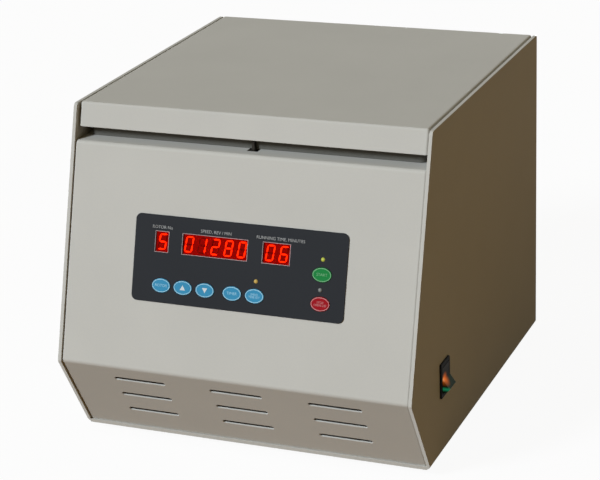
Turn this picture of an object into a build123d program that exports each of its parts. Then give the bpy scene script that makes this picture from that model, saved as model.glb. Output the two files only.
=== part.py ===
from build123d import *
import os
from math import cos, radians, sin, sqrt, tan

# Bench-top cytocentrifuge.  Millimetres, +X to the operator's right, +Y to the back, +Z up.
# The origin is the centre of the footprint on the bench, under the middle of the case.

os.makedirs("parts", exist_ok=True)

# ---------------------------------------------------------------- driving dimensions: case
CASE_W = 350.0          # over the side walls
CASE_D = 408.0          # from the nose bend to the back edge
CASE_H = 316.0          # from the underside of the floor to the top edge of the walls
WALL = 3.2              # one-piece shell: left wall, floor, right wall
SHEET = 1.5             # panels, deck flanges and lid cover
RIM = 1.5               # shell edges stand proud of the panels by this much
FOOT_H = 10.0           # rubber feet
NOSE_H = 84.4           # nose bend above the underside of the floor
SLOPE = 17.0            # upper front leans back, degrees from vertical
UNDERCUT = 30.4         # lower front runs in under the nose, degrees from vertical
LEDGE_DROP = 33.2       # ledge under the lid, below the top edge of the walls
LEDGE_BEHIND = 2.3      # ledge runs this far behind the hook's slot
TOE_FLANGE = 29.0       # front panel's bottom flange on the floor
LEDGE_BEND = 4.0        # outside radius of the bend at the ledge
NOSE_BEND = 5.0         # outside radius of the bend at the nose
PANEL_GAP = 0.3         # front and back panels to the side walls
PANEL_FLANGE = 12.0     # front panel's turned-in edges
BACK_FLANGE = 14.0      # shell's turned-in edges that carry the back panel
FOLD_BEND = 4.0         # outside radius of the shell's folds
FIT = 0.3               # play around pieces that move past each other
RUNNING = 0.05          # radial play of a running shaft or pin
SCREW_HOLE_PLAY = 0.2   # radial play of a screw in its hole
PASS = 3.0              # cutting tools run this far past what they cut
SINK = 1.5              # one form of a solid reaches this far into the next

# ---------------------------------------------------------------- driving dimensions: lid
LID_PROUD = 0.7         # lid top above the top edge of the walls
LID_SIDE_GAP = 1.5      # lid to side wall
LID_INSET = 4.3         # lid front behind the walls' front edge
LIP_H = 22.2            # lid's turned-down lip
LID_ROUND = 2.5
LINER_GAP = 0.4         # liner rim above the ledge
LINER_WALL = 2.0
LINER_FLOOR_UP = 5.0    # liner floor above its rim
LINER_SIDE = 4.0        # liner to lid lip at the sides
LINER_BEHIND = 4.0      # liner's back wall ahead of the goose-necks
LINER_ROUND = 6.0
HINGE_CLEAR = 0.5       # hinge ears to the lid's back lip
HINGE_HEAD = 0.7        # and to the lid's top
HINGE_SIDE = 65.0       # hinges in from the sides
HINGE_EAR = 6.0
HINGE_PIN = 2.5
HINGE_ARM = 3.0         # thickness of the goose-neck arm
HINGE_LUG = 2.5         # thickness of the lid's lugs
HINGE_TUCK = 1.5        # goose-neck's edges inside its round ear
HINGE_REACH = 22.0      # goose-neck reaches this far ahead of the axis
HINGE_NECK = 9.0
HINGE_FOOT = 16.0
HINGE_WIDE = 20.0       # width of the arm's foot
LUG_TAB = 10.0

# ---------------------------------------------------------------- driving dimensions: chamber
LOCK_TO_BOWL = 4.3      # lock housing to the bowl's wall
BOWL_TO_HINGE = 11.5    # bowl's flange to the goose-necks
BOWL_WALL = 1.5
BOWL_ROUND = 18.0
BOWL_FLANGE = 16.5      # flange beyond the bowl wall
BOWL_HOLE = 24.0
DECK_SHEET = 2.0
DECK_FLANGE = 15.0
DECK_BACK = 6.5         # deck starts this far behind the front bend
MOUTH_PLAY = 0.5        # deck hole around the bowl
SEAL_OFF = 3.0          # seal's inside beyond the bowl's inside
SEAL_WIDE = 11.0

# ---------------------------------------------------------------- driving dimensions: drive
MOTOR_R = 55.0
MOTOR_H = 103.6
MOTOR_ROUND = 6.0
MOTOR_GAP = 20.0        # motor top to bowl underside
NOSE_R = 18.0
MOTOR_NOSE = 8.0
STATOR_BORE = 28.0
STATOR_FOOT = 20.0      # motor's wall under its armature
STATOR_HEAD = 24.0      # and over it
AIR_GAP = 0.7           # around the armature
END_GAP = 2.8           # under and over the armature
BOOT_PLAY = 0.1         # rubber boot in the bowl's hole
BOOT_UP = 1.5           # boot stands above the bowl's floor
BOOT_SKIRT = 8.0        # boot's skirt beyond the bowl's hole
BOOT_LIP = 3.0          # boot reaches this far in over the motor's nose
PLATE_SIZE = 170.0
PLATE_T = 4.0
DAMPER_H = 30.0
DAMPER_R = 12.0
DAMPER_IN = 2.5         # dampers in from the plate's edges
SHAFT_R = 5.0
SHAFT_SEAT = 8.0        # shaft's lower end above the motor's underside

# ---------------------------------------------------------------- driving dimensions: rotor
STATIONS = 6
ROTOR_GAP = 6.5         # rotor disc above the bowl floor
DISC_T = 4.0
PIVOT_IN = 30.0         # carrier pivots inside the bowl's wall
PIVOT_UP = 17.0         # pivots above the disc
LEAN = 15.0             # carriers lean in at rest and stand upright at speed
HUB_R = 22.0
HUB_H = 26.0
HUB_ROUND = 3.0
NUT_R = 15.0
NUT_H = 22.0
NUT_CAP = 3.0           # nut's closed top over the shaft
FLUTES = 16
FLUTE_R = 1.5
FLUTE_IN = 5.5          # flutes end this far from the nut's faces
NUT_ROUND = 1.5
LIGHTEN_R = 13.2        # holes between the hub and the stop ring
EAR_T = 3.0
EAR_HALF = 7.0
PIN_R = 2.0
RIM_WALL = 3.0
RIM_H = 10.0
STOP_H = 5.0            # ring that the leaning carriers rest against
STOP_WALL = 3.0

# ---------------------------------------------------------------- driving dimensions: slide carrier
SLIDE_W = 26.0
SLIDE_H = 76.0
SLIDE_T = 1.0
CLIP_T = 1.2
CLIP_TAIL = 14.0        # clip's foot below the pivot
CARD_GAP = 0.5          # room for the filter card
FUNNEL_PLATE = 3.5
CUP_R = 8.0
CUP_WALL = 1.5
CUP_IN = 14.0           # cup centre ahead of the pivot
CUP_LOW = 4.0           # cup's underside above the pivot
CUP_TOP = 56.0
FLARE = 10.0            # height of the flared mouth
MOUTH_R = 11.0
PORT_R = 5.0
PORT_BORE = 3.0
PORT_UP = 12.0          # port above the pivot
FUNNEL_BACK = 0.1       # funnel's plate behind the pivot
PLATE_EDGE = 1.5        # plate narrower than the slide on each side
PLATE_DOWN = 3.0        # plate's lower edge below the pivot
YOKE = (38.0, 44.0)     # clip's front bar above the pivot
FOOT_AHEAD = 3.0        # clip's foot ahead of the pivot
CLIP_HOLD = 2.0         # clip's upper tab reaches this far over the slide
EAR_GAP = 3.0           # clip's cheeks to the rotor's ears

# ---------------------------------------------------------------- driving dimensions: front controls
OVERLAY_W = 209.0
OVERLAY_H = 80.6
OVERLAY_T = 0.8
OVERLAY_ROUND = 5.5
OVERLAY_X = 1.0
OVERLAY_DOWN = 136.8    # overlay centre, down the slope from the walls' top corner
WINDOW_UP = 15.8        # windows above the overlay's middle
WINDOW_H = 18.7
WINDOW_X = (27.4, 80.4, 140.7)       # window centres from the overlay's left edge
DIGITS = (1, 5, 2)                   # digits behind each window
WINDOW_MORE = (0.3, 0.7, 0.9)        # window wider than its digits
DIGIT_PITCH = 12.7
DIGIT_H = 19.0
DIGIT_DEEP = 8.0
DIGIT_GAP = 0.1         # between neighbouring digit modules
DIGIT_BEHIND = 0.5      # digit faces behind the panel's inner face
PANE_UNDER = 0.3        # filter panes below the overlay's face
KEY_W = 18.4
KEY_H = 13.1
KEY_PROUD = 0.7
KEY_ROUND = 0.42
KEY_TRAVEL = 0.8
KEY_SKIRT = 1.2         # wider back of a key that keeps it behind the panel
KEY_SKIRT_T = 1.7
KEY_ROW_X = 29.6        # first key of the row from the overlay's left edge
KEY_ROW_DOWN = 24.4     # row below the overlay's middle
# each key of the row, with the gap after it
KEY_ROW = (("key_rotor", 3.4), ("key_up", 3.7), ("key_down", 8.6), ("key_time", 3.6), ("key_set", 3.6))
KEY_RIGHT = (("key_start", 23.1, -1.4), ("key_stop", 22.9, 24.8))    # from the right edge, below the middle
LAMP_LEFT = (122.9, 11.0)            # from the overlay's left edge, below its middle
LAMPS_RIGHT = ((23.2, -15.1), (23.9, 12.4))
LAMP_R = 1.8
LAMP_PROUD = 0.9
LAMP_ROUND = 1.4
LAMP_PLAY = 0.1
BOARD_T = 1.6
BOARD_EDGE = 4.0        # board smaller than the overlay all round
STUD_R = 2.5
STUD_IN = 3.5           # studs in from the board's edges
SWITCH_BODY = 6.0
SWITCH_STEM = 1.5       # stem's radius and height
PLUG_LONG = 36.0
VENT_X = 1.5
VENT_PITCH = 97.3
VENT_L = 52.0
VENT_H = 4.6
VENT_ROWS = (17.8, 42.2, 66.6)

# ---------------------------------------------------------------- driving dimensions: power switch
ROCKER_Y = -112.1
ROCKER_UP = 74.2        # switch centre above the underside of the floor
BEZEL_END = 3.0         # bezel beyond the switch body above and below
BEZEL_SIDE = 2.2        # and at the sides
BEZEL_T = 2.0
BEZEL_ROUND = 1.5
BEZEL_EASE = 0.75
ROCKER_R = 13.0         # end radius about the rocker's pivot
ROCKER_W = 18.9
ROCKER_V = 4.0          # pivot to the valley of the rocker's face
ROCKER_TILT = 18.0
ROCKER_BACK = 4.0
ROCKER_PIN = 1.5
SWITCH_WALL = 0.8
SWITCH_DEEP = 24.0
SWITCH_PLAY = 0.1       # switch body in the wall's cut-out
BLADE_PITCH_Z = 7.9     # connection blades behind the switch
BLADE_LONG = 8.0
BLADE_SIZE = (4.0, 0.75)

# ---------------------------------------------------------------- driving dimensions: back panel
BACK_PANEL_GAP = 2.0    # back panel top below the lid's lip
FAN_IN = 80.0           # fan centre in from the left side
FAN_UP = 65.0           # fan centre above the underside of the floor
FAN_SIZE = 80.0
FAN_DEEP = 25.0
FAN_WALL = 2.5          # fan frame around its bore
FAN_ROUND = 6.0
FAN_PLATE = 3.0         # hub plate and struts
FAN_SETBACK = 6.0       # impeller ahead of the panel
FAN_HUB = 15.0
FAN_PIN = 2.0
PIN_OUT = 6.0           # impeller's pin stands out of the hub plate
BLADES = 7
BLADE_IN = 1.5          # blades are narrower than the hub at each end
BLADE_TIP_GAP = 1.2
BLADE_T = 1.6
BLADE_PITCH = 35.0
GUARD_WIRE = 0.9
GUARD_OFF = 3.0
GUARD_EDGE = 1.5        # outer ring inside the fan's bore
GUARD_STEP = 8.0        # from ring to ring
GUARD_COUNT = 4
GUARD_LEG = 1.8         # legs beyond the fan's bore
INLET_IN = 70.0         # inlet centre in from the right side
INLET_UP = 45.0
INLET_FLANGE = (50.0, 30.0)
INLET_T = 2.5
INLET_ROUND = 5.0
INLET_BODY = (28.4, 21.4)
INLET_WALL = 2.0        # body around its socket
INLET_DEEP = 22.0
SOCKET_DEEP = 17.0
PIN_LONG = 12.0
PIN_SIZE = (2.0, 4.0)
INLET_PINS = ((-7.0, -1.5), (0.0, 2.5), (7.0, -1.5))     # from the socket's middle
VENT_BACK_L = 80.0
VENT_BACK_H = 3.2
VENT_BACK_ROWS = 6
VENT_BACK_PITCH = 9.0
VENT_BACK_X = 85.0
VENT_BACK_UP = 190.0

# ---------------------------------------------------------------- driving dimensions: lid lock
HOOK_T = 2.5
HOOK_NECK = 4.5
HOOK_REACH = 7.0        # beak behind the neck
HOOK_BEAK = 8.0
HOOK_CLEAR = 0.7        # neck to the inside of the lid's front
HOOK_TAB = 8.0
HOOK_ROUND = 1.5
LATCH_X = 2.0           # latch right of the middle
SLOT_HALF = 5.2
SLOT_AHEAD = 3.0        # slot ahead of the hook, for the lid's arc
SLOT_BEHIND = 1.5
BOLT_SIZE = 7.0
BOLT_ROUND = 1.5
BOLT_GAP = 1.0          # bolt over the beak
BOLT_COVER = 2.1        # lock's wall between bolt and deck
BOLT_LONG = 13.0
BOLT_OFF = 2.0          # bolt tip behind the beak when it is drawn back
LOCK_HALF = 20.0
LOCK_WALL = 4.5
LOCK_END = 2.25         # wall behind the bolt's channel

# ---------------------------------------------------------------- driving dimensions: small parts
FOOT_R = 14.0
FOOT_IN = 35.0          # feet in from the sides
FOOT_FRONT = 96.0       # front feet behind the nose
FOOT_REAR = 34.0        # back feet ahead of the back edge
SCREW_R = 2.0
HEAD_R = 3.8
HEAD_H = 2.4
HEAD_DOME = 1.2         # thread starts this far inside the head
FOOT_RECESS = 5.0
SCREW_L = 8.0
SCREW_OUT = 1.5         # foot screws stand out of the floor
BACK_SCREW_END = 22.2   # outer back screws from the panel's ends
FOOT_TAPER = 1.5
DRIVE_BOX = (65.0, 120.0, 50.0)
DRIVE_GAP = 8.0         # drive unit to side wall
FIN_H = 12.0
FIN_T = 2.0
FINS = 8

# ---------------------------------------------------------------- places that follow
HALF_W = CASE_W / 2
INNER = HALF_W - WALL
FAN_X = FAN_IN - HALF_W
INLET_X = HALF_W - INLET_IN
FOOT_X = HALF_W - FOOT_IN
HINGE_X = HALF_W - HINGE_SIDE
FRONT_Y = -CASE_D / 2
BACK_Y = CASE_D / 2
FLOOR_Z = FOOT_H
FLOOR_TOP = FLOOR_Z + WALL
TOP_Z = FLOOR_Z + CASE_H
NOSE_Z = FLOOR_Z + NOSE_H
LEDGE_Z = TOP_Z - LEDGE_DROP
DECK_TOP = LEDGE_Z - SHEET
DECK_Z = DECK_TOP - DECK_SHEET
PANEL_BACK = BACK_Y - RIM            # outer face of the back panel
PANEL_IN = PANEL_BACK - SHEET
LID_TOP = TOP_Z + LID_PROUD
LIP_Z = LID_TOP - LIP_H
LID_HALF = INNER - LID_SIDE_GAP
LINER_TOP = LID_TOP - SHEET
HINGE_Y = PANEL_BACK - SHEET - HINGE_CLEAR - HINGE_EAR
HINGE_Z = LINER_TOP - HINGE_HEAD - HINGE_EAR
ARM_FRONT = HINGE_Y - HINGE_REACH
BOWL_TOP = DECK_TOP + BOWL_WALL
PLATE_Z = FLOOR_TOP + DAMPER_H
MOTOR_LOW = PLATE_Z + PLATE_T
MOTOR_TOP = MOTOR_LOW + MOTOR_H
STATOR = (MOTOR_LOW + STATOR_FOOT, MOTOR_TOP - STATOR_HEAD)
BOWL_LOW = MOTOR_TOP + MOTOR_GAP
BOWL_FLOOR = BOWL_LOW + BOWL_WALL
DISC_Z = BOWL_FLOOR + ROTOR_GAP
DISC_TOP = DISC_Z + DISC_T
PIVOT_Z = DISC_TOP + PIVOT_UP
HUB_TOP = DISC_TOP + HUB_H
FRONT_NORMAL = (0, -cos(radians(SLOPE)), sin(radians(SLOPE)))
UNDER_NORMAL = (0, -cos(radians(UNDERCUT)), -sin(radians(UNDERCUT)))
FROM_BELOW = (Align.CENTER, Align.CENTER, Align.MIN)


# ---------------------------------------------------------------- shape helpers
def block(x, y, z):
    """Box between (low, high) pairs along X, Y and Z."""
    spans = (x, y, z)
    return Pos(*[(lo + hi) / 2 for lo, hi in spans]) * Box(*[hi - lo for lo, hi in spans])


def drum(centre, z, radius):
    """Upright cylinder on an (x, y) centre between two heights."""
    return Pos(*centre, z[0]) * Cylinder(radius, z[1] - z[0], align=FROM_BELOW)


def rod(start, end, radius):
    """Round bar between two points."""
    span = Vector(*end) - Vector(*start)
    return Plane(origin=start, z_dir=span) * Cylinder(radius, span.length, align=FROM_BELOW)


def profile(points, x, bends=()):
    """Plate with a closed (y, z) outline, spread along X; bends are (corner number, radius)."""
    face = make_face(Polyline([(x[0], *p) for p in points], close=True)).face()
    for number, radius in bends:
        corner = face.vertices().sort_by_distance((x[0], *points[number]))[0]
        face = face.fillet_2d(radius, [corner])
    return extrude(face, amount=x[1] - x[0], dir=(1, 0, 0))


def slope_y(z, inset):
    """Y of the sloped front at height z, inset square to it from the walls' edge."""
    return FRONT_Y + (z - NOSE_Z) * tan(radians(SLOPE)) + inset / cos(radians(SLOPE))


def undercut_y(z, inset):
    """Y of the lower front at height z, inset square to it from the walls' edge."""
    return FRONT_Y + (NOSE_Z - z) * tan(radians(UNDERCUT)) + inset / cos(radians(UNDERCUT))


def nose(inset):
    """(y, z) where the two inset front faces meet."""
    rise = inset * (1 / cos(radians(UNDERCUT)) - 1 / cos(radians(SLOPE)))
    z = NOSE_Z + rise / (tan(radians(SLOPE)) + tan(radians(UNDERCUT)))
    return slope_y(z, inset), z


FRONT_BEND_Y = slope_y(LEDGE_Z, RIM)
DECK_FRONT = FRONT_BEND_Y + DECK_BACK
HOOK_FRONT = slope_y(LINER_TOP - LID_ROUND, LID_INSET + SHEET) + HOOK_CLEAR
HOOK_BACK = HOOK_FRONT + HOOK_NECK
BEAK_BACK = HOOK_BACK + HOOK_REACH
SLOT_Y = (HOOK_FRONT - SLOT_AHEAD, BEAK_BACK + SLOT_BEHIND)
LEDGE_END = SLOT_Y[1] + LEDGE_BEHIND
BOLT_TIP = BEAK_BACK + BOLT_OFF
BOLT_END = BOLT_TIP + BOLT_LONG
BOLT_Z = (DECK_Z - BOLT_COVER - BOLT_SIZE, DECK_Z - BOLT_COVER)
BEAK_TOP = BOLT_Z[0] - BOLT_GAP
HOOK_Z = BEAK_TOP - HOOK_BEAK
LOCK_Y = (SLOT_Y[0] - LOCK_WALL, BOLT_END + FIT + LOCK_END)
BOWL_Y = (LOCK_Y[1] + LOCK_TO_BOWL, ARM_FRONT - BOWL_TO_HINGE - BOWL_FLANGE)
BOWL_R = (BOWL_Y[1] - BOWL_Y[0]) / 2 - BOWL_WALL
CHAMBER_Y = (BOWL_Y[0] + BOWL_Y[1]) / 2
AXIS = (0.0, CHAMBER_Y)
PIVOT_R = BOWL_R - PIVOT_IN
FACE = Plane(origin=(0, slope_y(TOP_Z, RIM), TOP_Z), x_dir=(1, 0, 0), z_dir=FRONT_NORMAL)
UNDER = Plane(origin=(VENT_X, *nose(RIM)), x_dir=(1, 0, 0), z_dir=UNDER_NORMAL)
FACE_SHIFT = RIM * tan(radians(SLOPE))   # the face's own top corner lies this far up the slope


def on_front(x, down, out=0.0):
    """Place on the front panel's outer face: across, down the slope, out of the face."""
    return FACE * Pos(x, -down + FACE_SHIFT, out)


def punch(shape_2d, x, down, out):
    """Prism of a flat shape square to the front panel, between two distances out of it."""
    return on_front(x, down, out[0]) * extrude(shape_2d, amount=out[1] - out[0])


def turned(points, bends=()):
    """Solid turned about the rotor axis from a closed (radius, height) outline."""
    face = make_face(Polyline([(r, 0, z) for r, z in points], close=True)).face()
    for number, radius in bends:
        r, z = points[number]
        corner = face.vertices().sort_by_distance((r, 0, z))[0]
        face = face.fillet_2d(radius, [corner])
    return Pos(*AXIS, 0) * revolve(face, axis=Axis.Z)


def ring(inner, outer, z):
    """Flat ring about the rotor axis."""
    return drum(AXIS, z, outer) - drum(AXIS, z, inner)


# ---------------------------------------------------------------- places on the overlay
OVERLAY_LEFT = OVERLAY_X - OVERLAY_W / 2
OVERLAY_RIGHT = OVERLAY_X + OVERLAY_W / 2
WINDOW_DOWN = OVERLAY_DOWN - WINDOW_UP
WINDOWS = [(OVERLAY_LEFT + x, count * DIGIT_PITCH + more, count)
           for x, count, more in zip(WINDOW_X, DIGITS, WINDOW_MORE)]
KEYS = {}               # name to (centre x, distance down the slope)
key_x = OVERLAY_LEFT + KEY_ROW_X
for name, gap in KEY_ROW:
    KEYS[name] = (key_x, OVERLAY_DOWN + KEY_ROW_DOWN)
    key_x += KEY_W + gap
for name, inward, below in KEY_RIGHT:
    KEYS[name] = (OVERLAY_RIGHT - inward, OVERLAY_DOWN + below)
LAMPS = [(OVERLAY_LEFT + LAMP_LEFT[0], OVERLAY_DOWN + LAMP_LEFT[1])]
LAMPS += [(OVERLAY_RIGHT - inward, OVERLAY_DOWN + below) for inward, below in LAMPS_RIGHT]
DIGIT_FACE = -SHEET - DIGIT_BEHIND
BOARD_FACE = DIGIT_FACE - DIGIT_DEEP
KEY_BACK = -SHEET - FIT - KEY_SKIRT_T         # back face of a key's skirt


# ---------------------------------------------------------------- case
FOOT_PLACES = [(sx * FOOT_X, y) for sx in (-1, 1) for y in (FRONT_Y + FOOT_FRONT, BACK_Y - FOOT_REAR)]
BACK_SCREW_Z = (FLOOR_TOP + BACK_SCREW_END, (FLOOR_TOP + DECK_Z) / 2, DECK_Z - BACK_SCREW_END)
BACK_SCREWS = [(sx * (INNER - BACK_FLANGE / 2), z) for sx in (-1, 1) for z in BACK_SCREW_Z]
ROCKER_Z = FLOOR_Z + ROCKER_UP
CAVITY_HALF = ROCKER_R + FIT
CAVITY_SIDE = ROCKER_W / 2 + FIT
SWITCH_HALF = (CAVITY_SIDE + SWITCH_WALL, CAVITY_HALF + SWITCH_WALL)      # across, up
FAN_Z = FLOOR_Z + FAN_UP
FAN_Y = (PANEL_IN - FAN_DEEP, PANEL_IN)
FAN_BORE = FAN_SIZE / 2 - FAN_WALL
INLET_Z = FLOOR_Z + INLET_UP


def hook_slot(z):
    """Slot that the lid's hook passes through, long enough for its arc."""
    return Pos(LATCH_X, 0, 0) * block((-SLOT_HALF, SLOT_HALF), SLOT_Y, z)


def case_shell():
    """Left wall, floor and right wall folded from one sheet, with turned-in back edges."""
    outline = [(undercut_y(FLOOR_Z, 0), FLOOR_Z), (FRONT_Y, NOSE_Z), (slope_y(TOP_Z, 0), TOP_Z),
               (BACK_Y, TOP_Z), (BACK_Y, FLOOR_Z)]
    body = profile(outline, (-HALF_W, HALF_W), [(1, WALL), (2, FOLD_BEND), (3, WALL)])
    folds = [e for e in body.edges().filter_by(Axis.Y)
             if e.center().Z < FLOOR_TOP and abs(e.center().X) > INNER]
    body = fillet(folds, FOLD_BEND)
    body -= block((-INNER, INNER), (FRONT_Y - PASS, BACK_Y + PASS), (FLOOR_TOP, TOP_Z + PASS))
    for side in (-1, 1):
        edge = sorted((side * INNER, side * (INNER - BACK_FLANGE)))
        body += block(edge, (PANEL_IN - WALL, PANEL_IN), (FLOOR_TOP, DECK_Z))
    for x, y in FOOT_PLACES:
        body -= drum((x, y), (FLOOR_Z - PASS, FLOOR_TOP + PASS), SCREW_R + SCREW_HOLE_PLAY)
    for x, z in BACK_SCREWS:
        body -= rod((x, PANEL_IN - WALL - PASS, z), (x, PANEL_IN + PASS, z), SCREW_R + SCREW_HOLE_PLAY)
    side, up = [half + SWITCH_PLAY for half in SWITCH_HALF]
    return body - block((INNER - PASS, HALF_W + PASS), (ROCKER_Y - side, ROCKER_Y + side),
                        (ROCKER_Z - up, ROCKER_Z + up))


def front_path(inset):
    """(y, z) points of the front panel's section at a depth into it, from ledge to toe flange."""
    depth = inset - RIM
    high, low = LEDGE_Z - depth, FLOOR_TOP + depth
    return [(LEDGE_END, high), (slope_y(high, inset), high), nose(inset),
            (undercut_y(low, inset), low), (undercut_y(FLOOR_TOP, RIM) + TOE_FLANGE, low)]


def front_panel():
    """Formed front: ledge, sloped face, nose bend and vented lower face, with side flanges."""
    half = INNER - PANEL_GAP
    outside, inside = front_path(RIM), front_path(RIM + SHEET)
    flange_edge = front_path(RIM + PANEL_FLANGE)
    beyond = front_path(RIM + 2 * PANEL_FLANGE)
    bends = [(1, LEDGE_BEND), (2, NOSE_BEND), (3, SHEET)]
    panel = profile(outside + flange_edge[::-1], (-half, half), bends)
    middles = [((outside[i][0] + outside[i + 1][0]) / 2, (outside[i][1] + outside[i + 1][1]) / 2)
               for i in range(3)]
    on_edge = [middles[0], outside[1], middles[1], outside[2], middles[2]]
    picked = [panel.edges().sort_by_distance((side * half, *p))[0]
              for side in (-1, 1) for p in on_edge]
    panel = fillet(picked, SHEET + FIT)
    inner_bends = [(1, LEDGE_BEND - SHEET), (2, NOSE_BEND - SHEET)]
    panel -= profile(inside + beyond[::-1], (-half + SHEET, half - SHEET), inner_bends)
    through = (-SHEET - PASS, PASS)
    for column in (-1, 0, 1):
        for row in VENT_ROWS:
            slot = extrude(SlotOverall(VENT_L, VENT_H), amount=through[1] - through[0])
            panel -= UNDER * Pos(column * VENT_PITCH, -row, through[0]) * slot
    panel -= face_openings(through)
    for sx in (-1, 1):
        for sy in (-1, 1):
            x = OVERLAY_X + sx * (OVERLAY_W / 2 - BOARD_EDGE - STUD_IN)
            down = OVERLAY_DOWN + sy * (OVERLAY_H / 2 - BOARD_EDGE - STUD_IN)
            panel += punch(Circle(STUD_R), x, down, (BOARD_FACE, -SHEET / 2))
    under_ledge = (DECK_TOP - DECK_FLANGE - FIT, DECK_TOP)
    panel -= block((-INNER, INNER), (DECK_FRONT - FIT, LEDGE_END + PANEL_FLANGE), under_ledge)
    return panel - hook_slot((DECK_TOP - PASS, LEDGE_Z + PASS))


def face_openings(out):
    """What is cut through panel and overlay for windows, keys and lamps."""
    cuts = [punch(Rectangle(wide, WINDOW_H), x, WINDOW_DOWN, out) for x, wide, _ in WINDOWS]
    cuts += [punch(Ellipse(KEY_W / 2 + FIT, KEY_H / 2 + FIT), *place, out) for place in KEYS.values()]
    return cuts + [punch(Circle(LAMP_R + LAMP_PLAY), *place, out) for place in LAMPS]


def back_panel():
    """Flat back sheet with the fan opening, the power inlet's cut-out and cooling slots."""
    half = INNER - PANEL_GAP
    panel = block((-half, half), (PANEL_IN, PANEL_BACK), (FLOOR_TOP, LIP_Z - BACK_PANEL_GAP))
    start, end = PANEL_IN - PASS, PANEL_BACK + PASS
    panel -= rod((FAN_X, start, FAN_Z), (FAN_X, end, FAN_Z), FAN_BORE)
    panel -= inlet_block(INLET_BODY, (start, end))
    for x, z in BACK_SCREWS:
        panel -= rod((x, start, z), (x, end, z), SCREW_R + SCREW_HOLE_PLAY)
    slot = Rot(-90, 0, 0) * extrude(SlotOverall(VENT_BACK_L, VENT_BACK_H), amount=end - start)
    for side in (-1, 1):
        for i in range(VENT_BACK_ROWS):
            z = FLOOR_Z + VENT_BACK_UP + i * VENT_BACK_PITCH
            panel -= Pos(side * VENT_BACK_X, start, z) * slot
    return panel


def top_deck():
    """Deck under the lid with the chamber mouth and turned-down sides."""
    front, back = DECK_FRONT, PANEL_IN - WALL
    deck = block((-INNER, INNER), (front, back), (DECK_Z, DECK_TOP))
    for side in (-1, 1):
        edge = sorted((side * INNER, side * (INNER - DECK_SHEET)))
        deck += block(edge, (front, back), (DECK_TOP - DECK_FLANGE, DECK_TOP))
        notch = sorted((side * (INNER + PASS), side * (INNER - BACK_FLANGE)))
        deck -= block(notch, (back - WALL, back + PASS), (DECK_TOP - DECK_FLANGE - PASS, DECK_Z))
    deck -= drum(AXIS, (DECK_Z - PASS, DECK_TOP + PASS), BOWL_R + BOWL_WALL + MOUTH_PLAY)
    return deck - hook_slot((DECK_Z - PASS, DECK_TOP + PASS))


def feet():
    """Rubber feet with a screw recess from below."""
    made = []
    for place in FOOT_PLACES:
        foot = Pos(*place, 0) * Cone(FOOT_R - FOOT_TAPER, FOOT_R, FOOT_H, align=FROM_BELOW)
        foot -= drum(place, (-PASS, FOOT_RECESS), HEAD_R + SCREW_HOLE_PLAY)
        made.append(foot - drum(place, (0, FOOT_H + PASS), SCREW_R + SCREW_HOLE_PLAY))
    return made


def screws():
    """Pan-head screws: feet from below, back panel from behind."""
    made = []
    for place in FOOT_PLACES:
        head = drum(place, (FOOT_RECESS - HEAD_H, FOOT_RECESS), HEAD_R)
        made.append(head + drum(place, (FOOT_RECESS - HEAD_DOME, FLOOR_TOP + SCREW_OUT), SCREW_R))
    for x, z in BACK_SCREWS:
        head = rod((x, PANEL_BACK, z), (x, PANEL_BACK + HEAD_H, z), HEAD_R)
        made.append(head + rod((x, PANEL_BACK + HEAD_DOME, z), (x, PANEL_BACK - SCREW_L, z), SCREW_R))
    return made


# ---------------------------------------------------------------- lid
def lid_form(shrink, low):
    """Solid with the lid's outer form, shrunk by a sheet thickness and open below."""
    half, top, back = LID_HALF - shrink, LID_TOP - shrink, PANEL_BACK - shrink
    inset = LID_INSET + shrink
    outline = [(slope_y(low, inset), low), (slope_y(top, inset), top), (back, top), (back, low)]
    form = profile(outline, (-half, half))
    keep = [e for e in form.edges() if e.center().Z > low]
    return fillet(keep, LID_ROUND - shrink)


def lid_cover():
    """Folded sheet cover with a turned-down lip all round."""
    return lid_form(0, LIP_Z) - lid_form(SHEET, LIP_Z - PASS)


LINER_LOW = LEDGE_Z + LINER_GAP
LINER_FLOOR = LINER_LOW + LINER_FLOOR_UP
LINER_HALF = LID_HALF - SHEET - LINER_SIDE
LINER_Y = (HOOK_BACK, ARM_FRONT - LINER_BEHIND)


def liner_block(shrink, z):
    """Upright block with the liner's plan, shrunk by a wall."""
    x = (-LINER_HALF + shrink, LINER_HALF - shrink)
    y = (LINER_Y[0] + shrink, LINER_Y[1] - shrink)
    body = block(x, y, z)
    return fillet(body.edges().filter_by(Axis.Z), LINER_ROUND - shrink)


def lid_liner():
    """Moulded pan inside the lid: walls, and a floor set up from the rim."""
    pan = liner_block(0, (LINER_LOW, LINER_TOP))
    pan -= liner_block(LINER_WALL, (LINER_LOW - PASS, LINER_FLOOR))
    return pan - liner_block(LINER_WALL, (LINER_FLOOR + LINER_WALL, LINER_TOP + PASS))


def lid_seal():
    """Rubber ring under the liner that closes on the bowl's flange."""
    inner = BOWL_R + SEAL_OFF
    return ring(inner, inner + SEAL_WIDE, (BOWL_TOP + FIT, LINER_FLOOR))


def lid_hook():
    """Steel hook on the liner's front wall: fixing tab, neck and beak."""
    neck = block((-HOOK_T / 2, HOOK_T / 2), (HOOK_FRONT, HOOK_BACK), (HOOK_Z, LINER_TOP - LID_ROUND))
    beak = block((-HOOK_T / 2, HOOK_T / 2), (HOOK_FRONT, BEAK_BACK), (HOOK_Z, BEAK_TOP))
    tab = block((-HOOK_TAB, HOOK_TAB), (HOOK_BACK - SHEET, HOOK_BACK), (LIP_Z - SHEET, LINER_TOP - SHEET))
    hook = neck + beak + tab
    tip_edges = [e for e in hook.edges().filter_by(Axis.X) if e.center().Z < HOOK_Z + HOOK_ROUND]
    return Pos(LATCH_X, 0, 0) * fillet(tip_edges, HOOK_ROUND)


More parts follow.
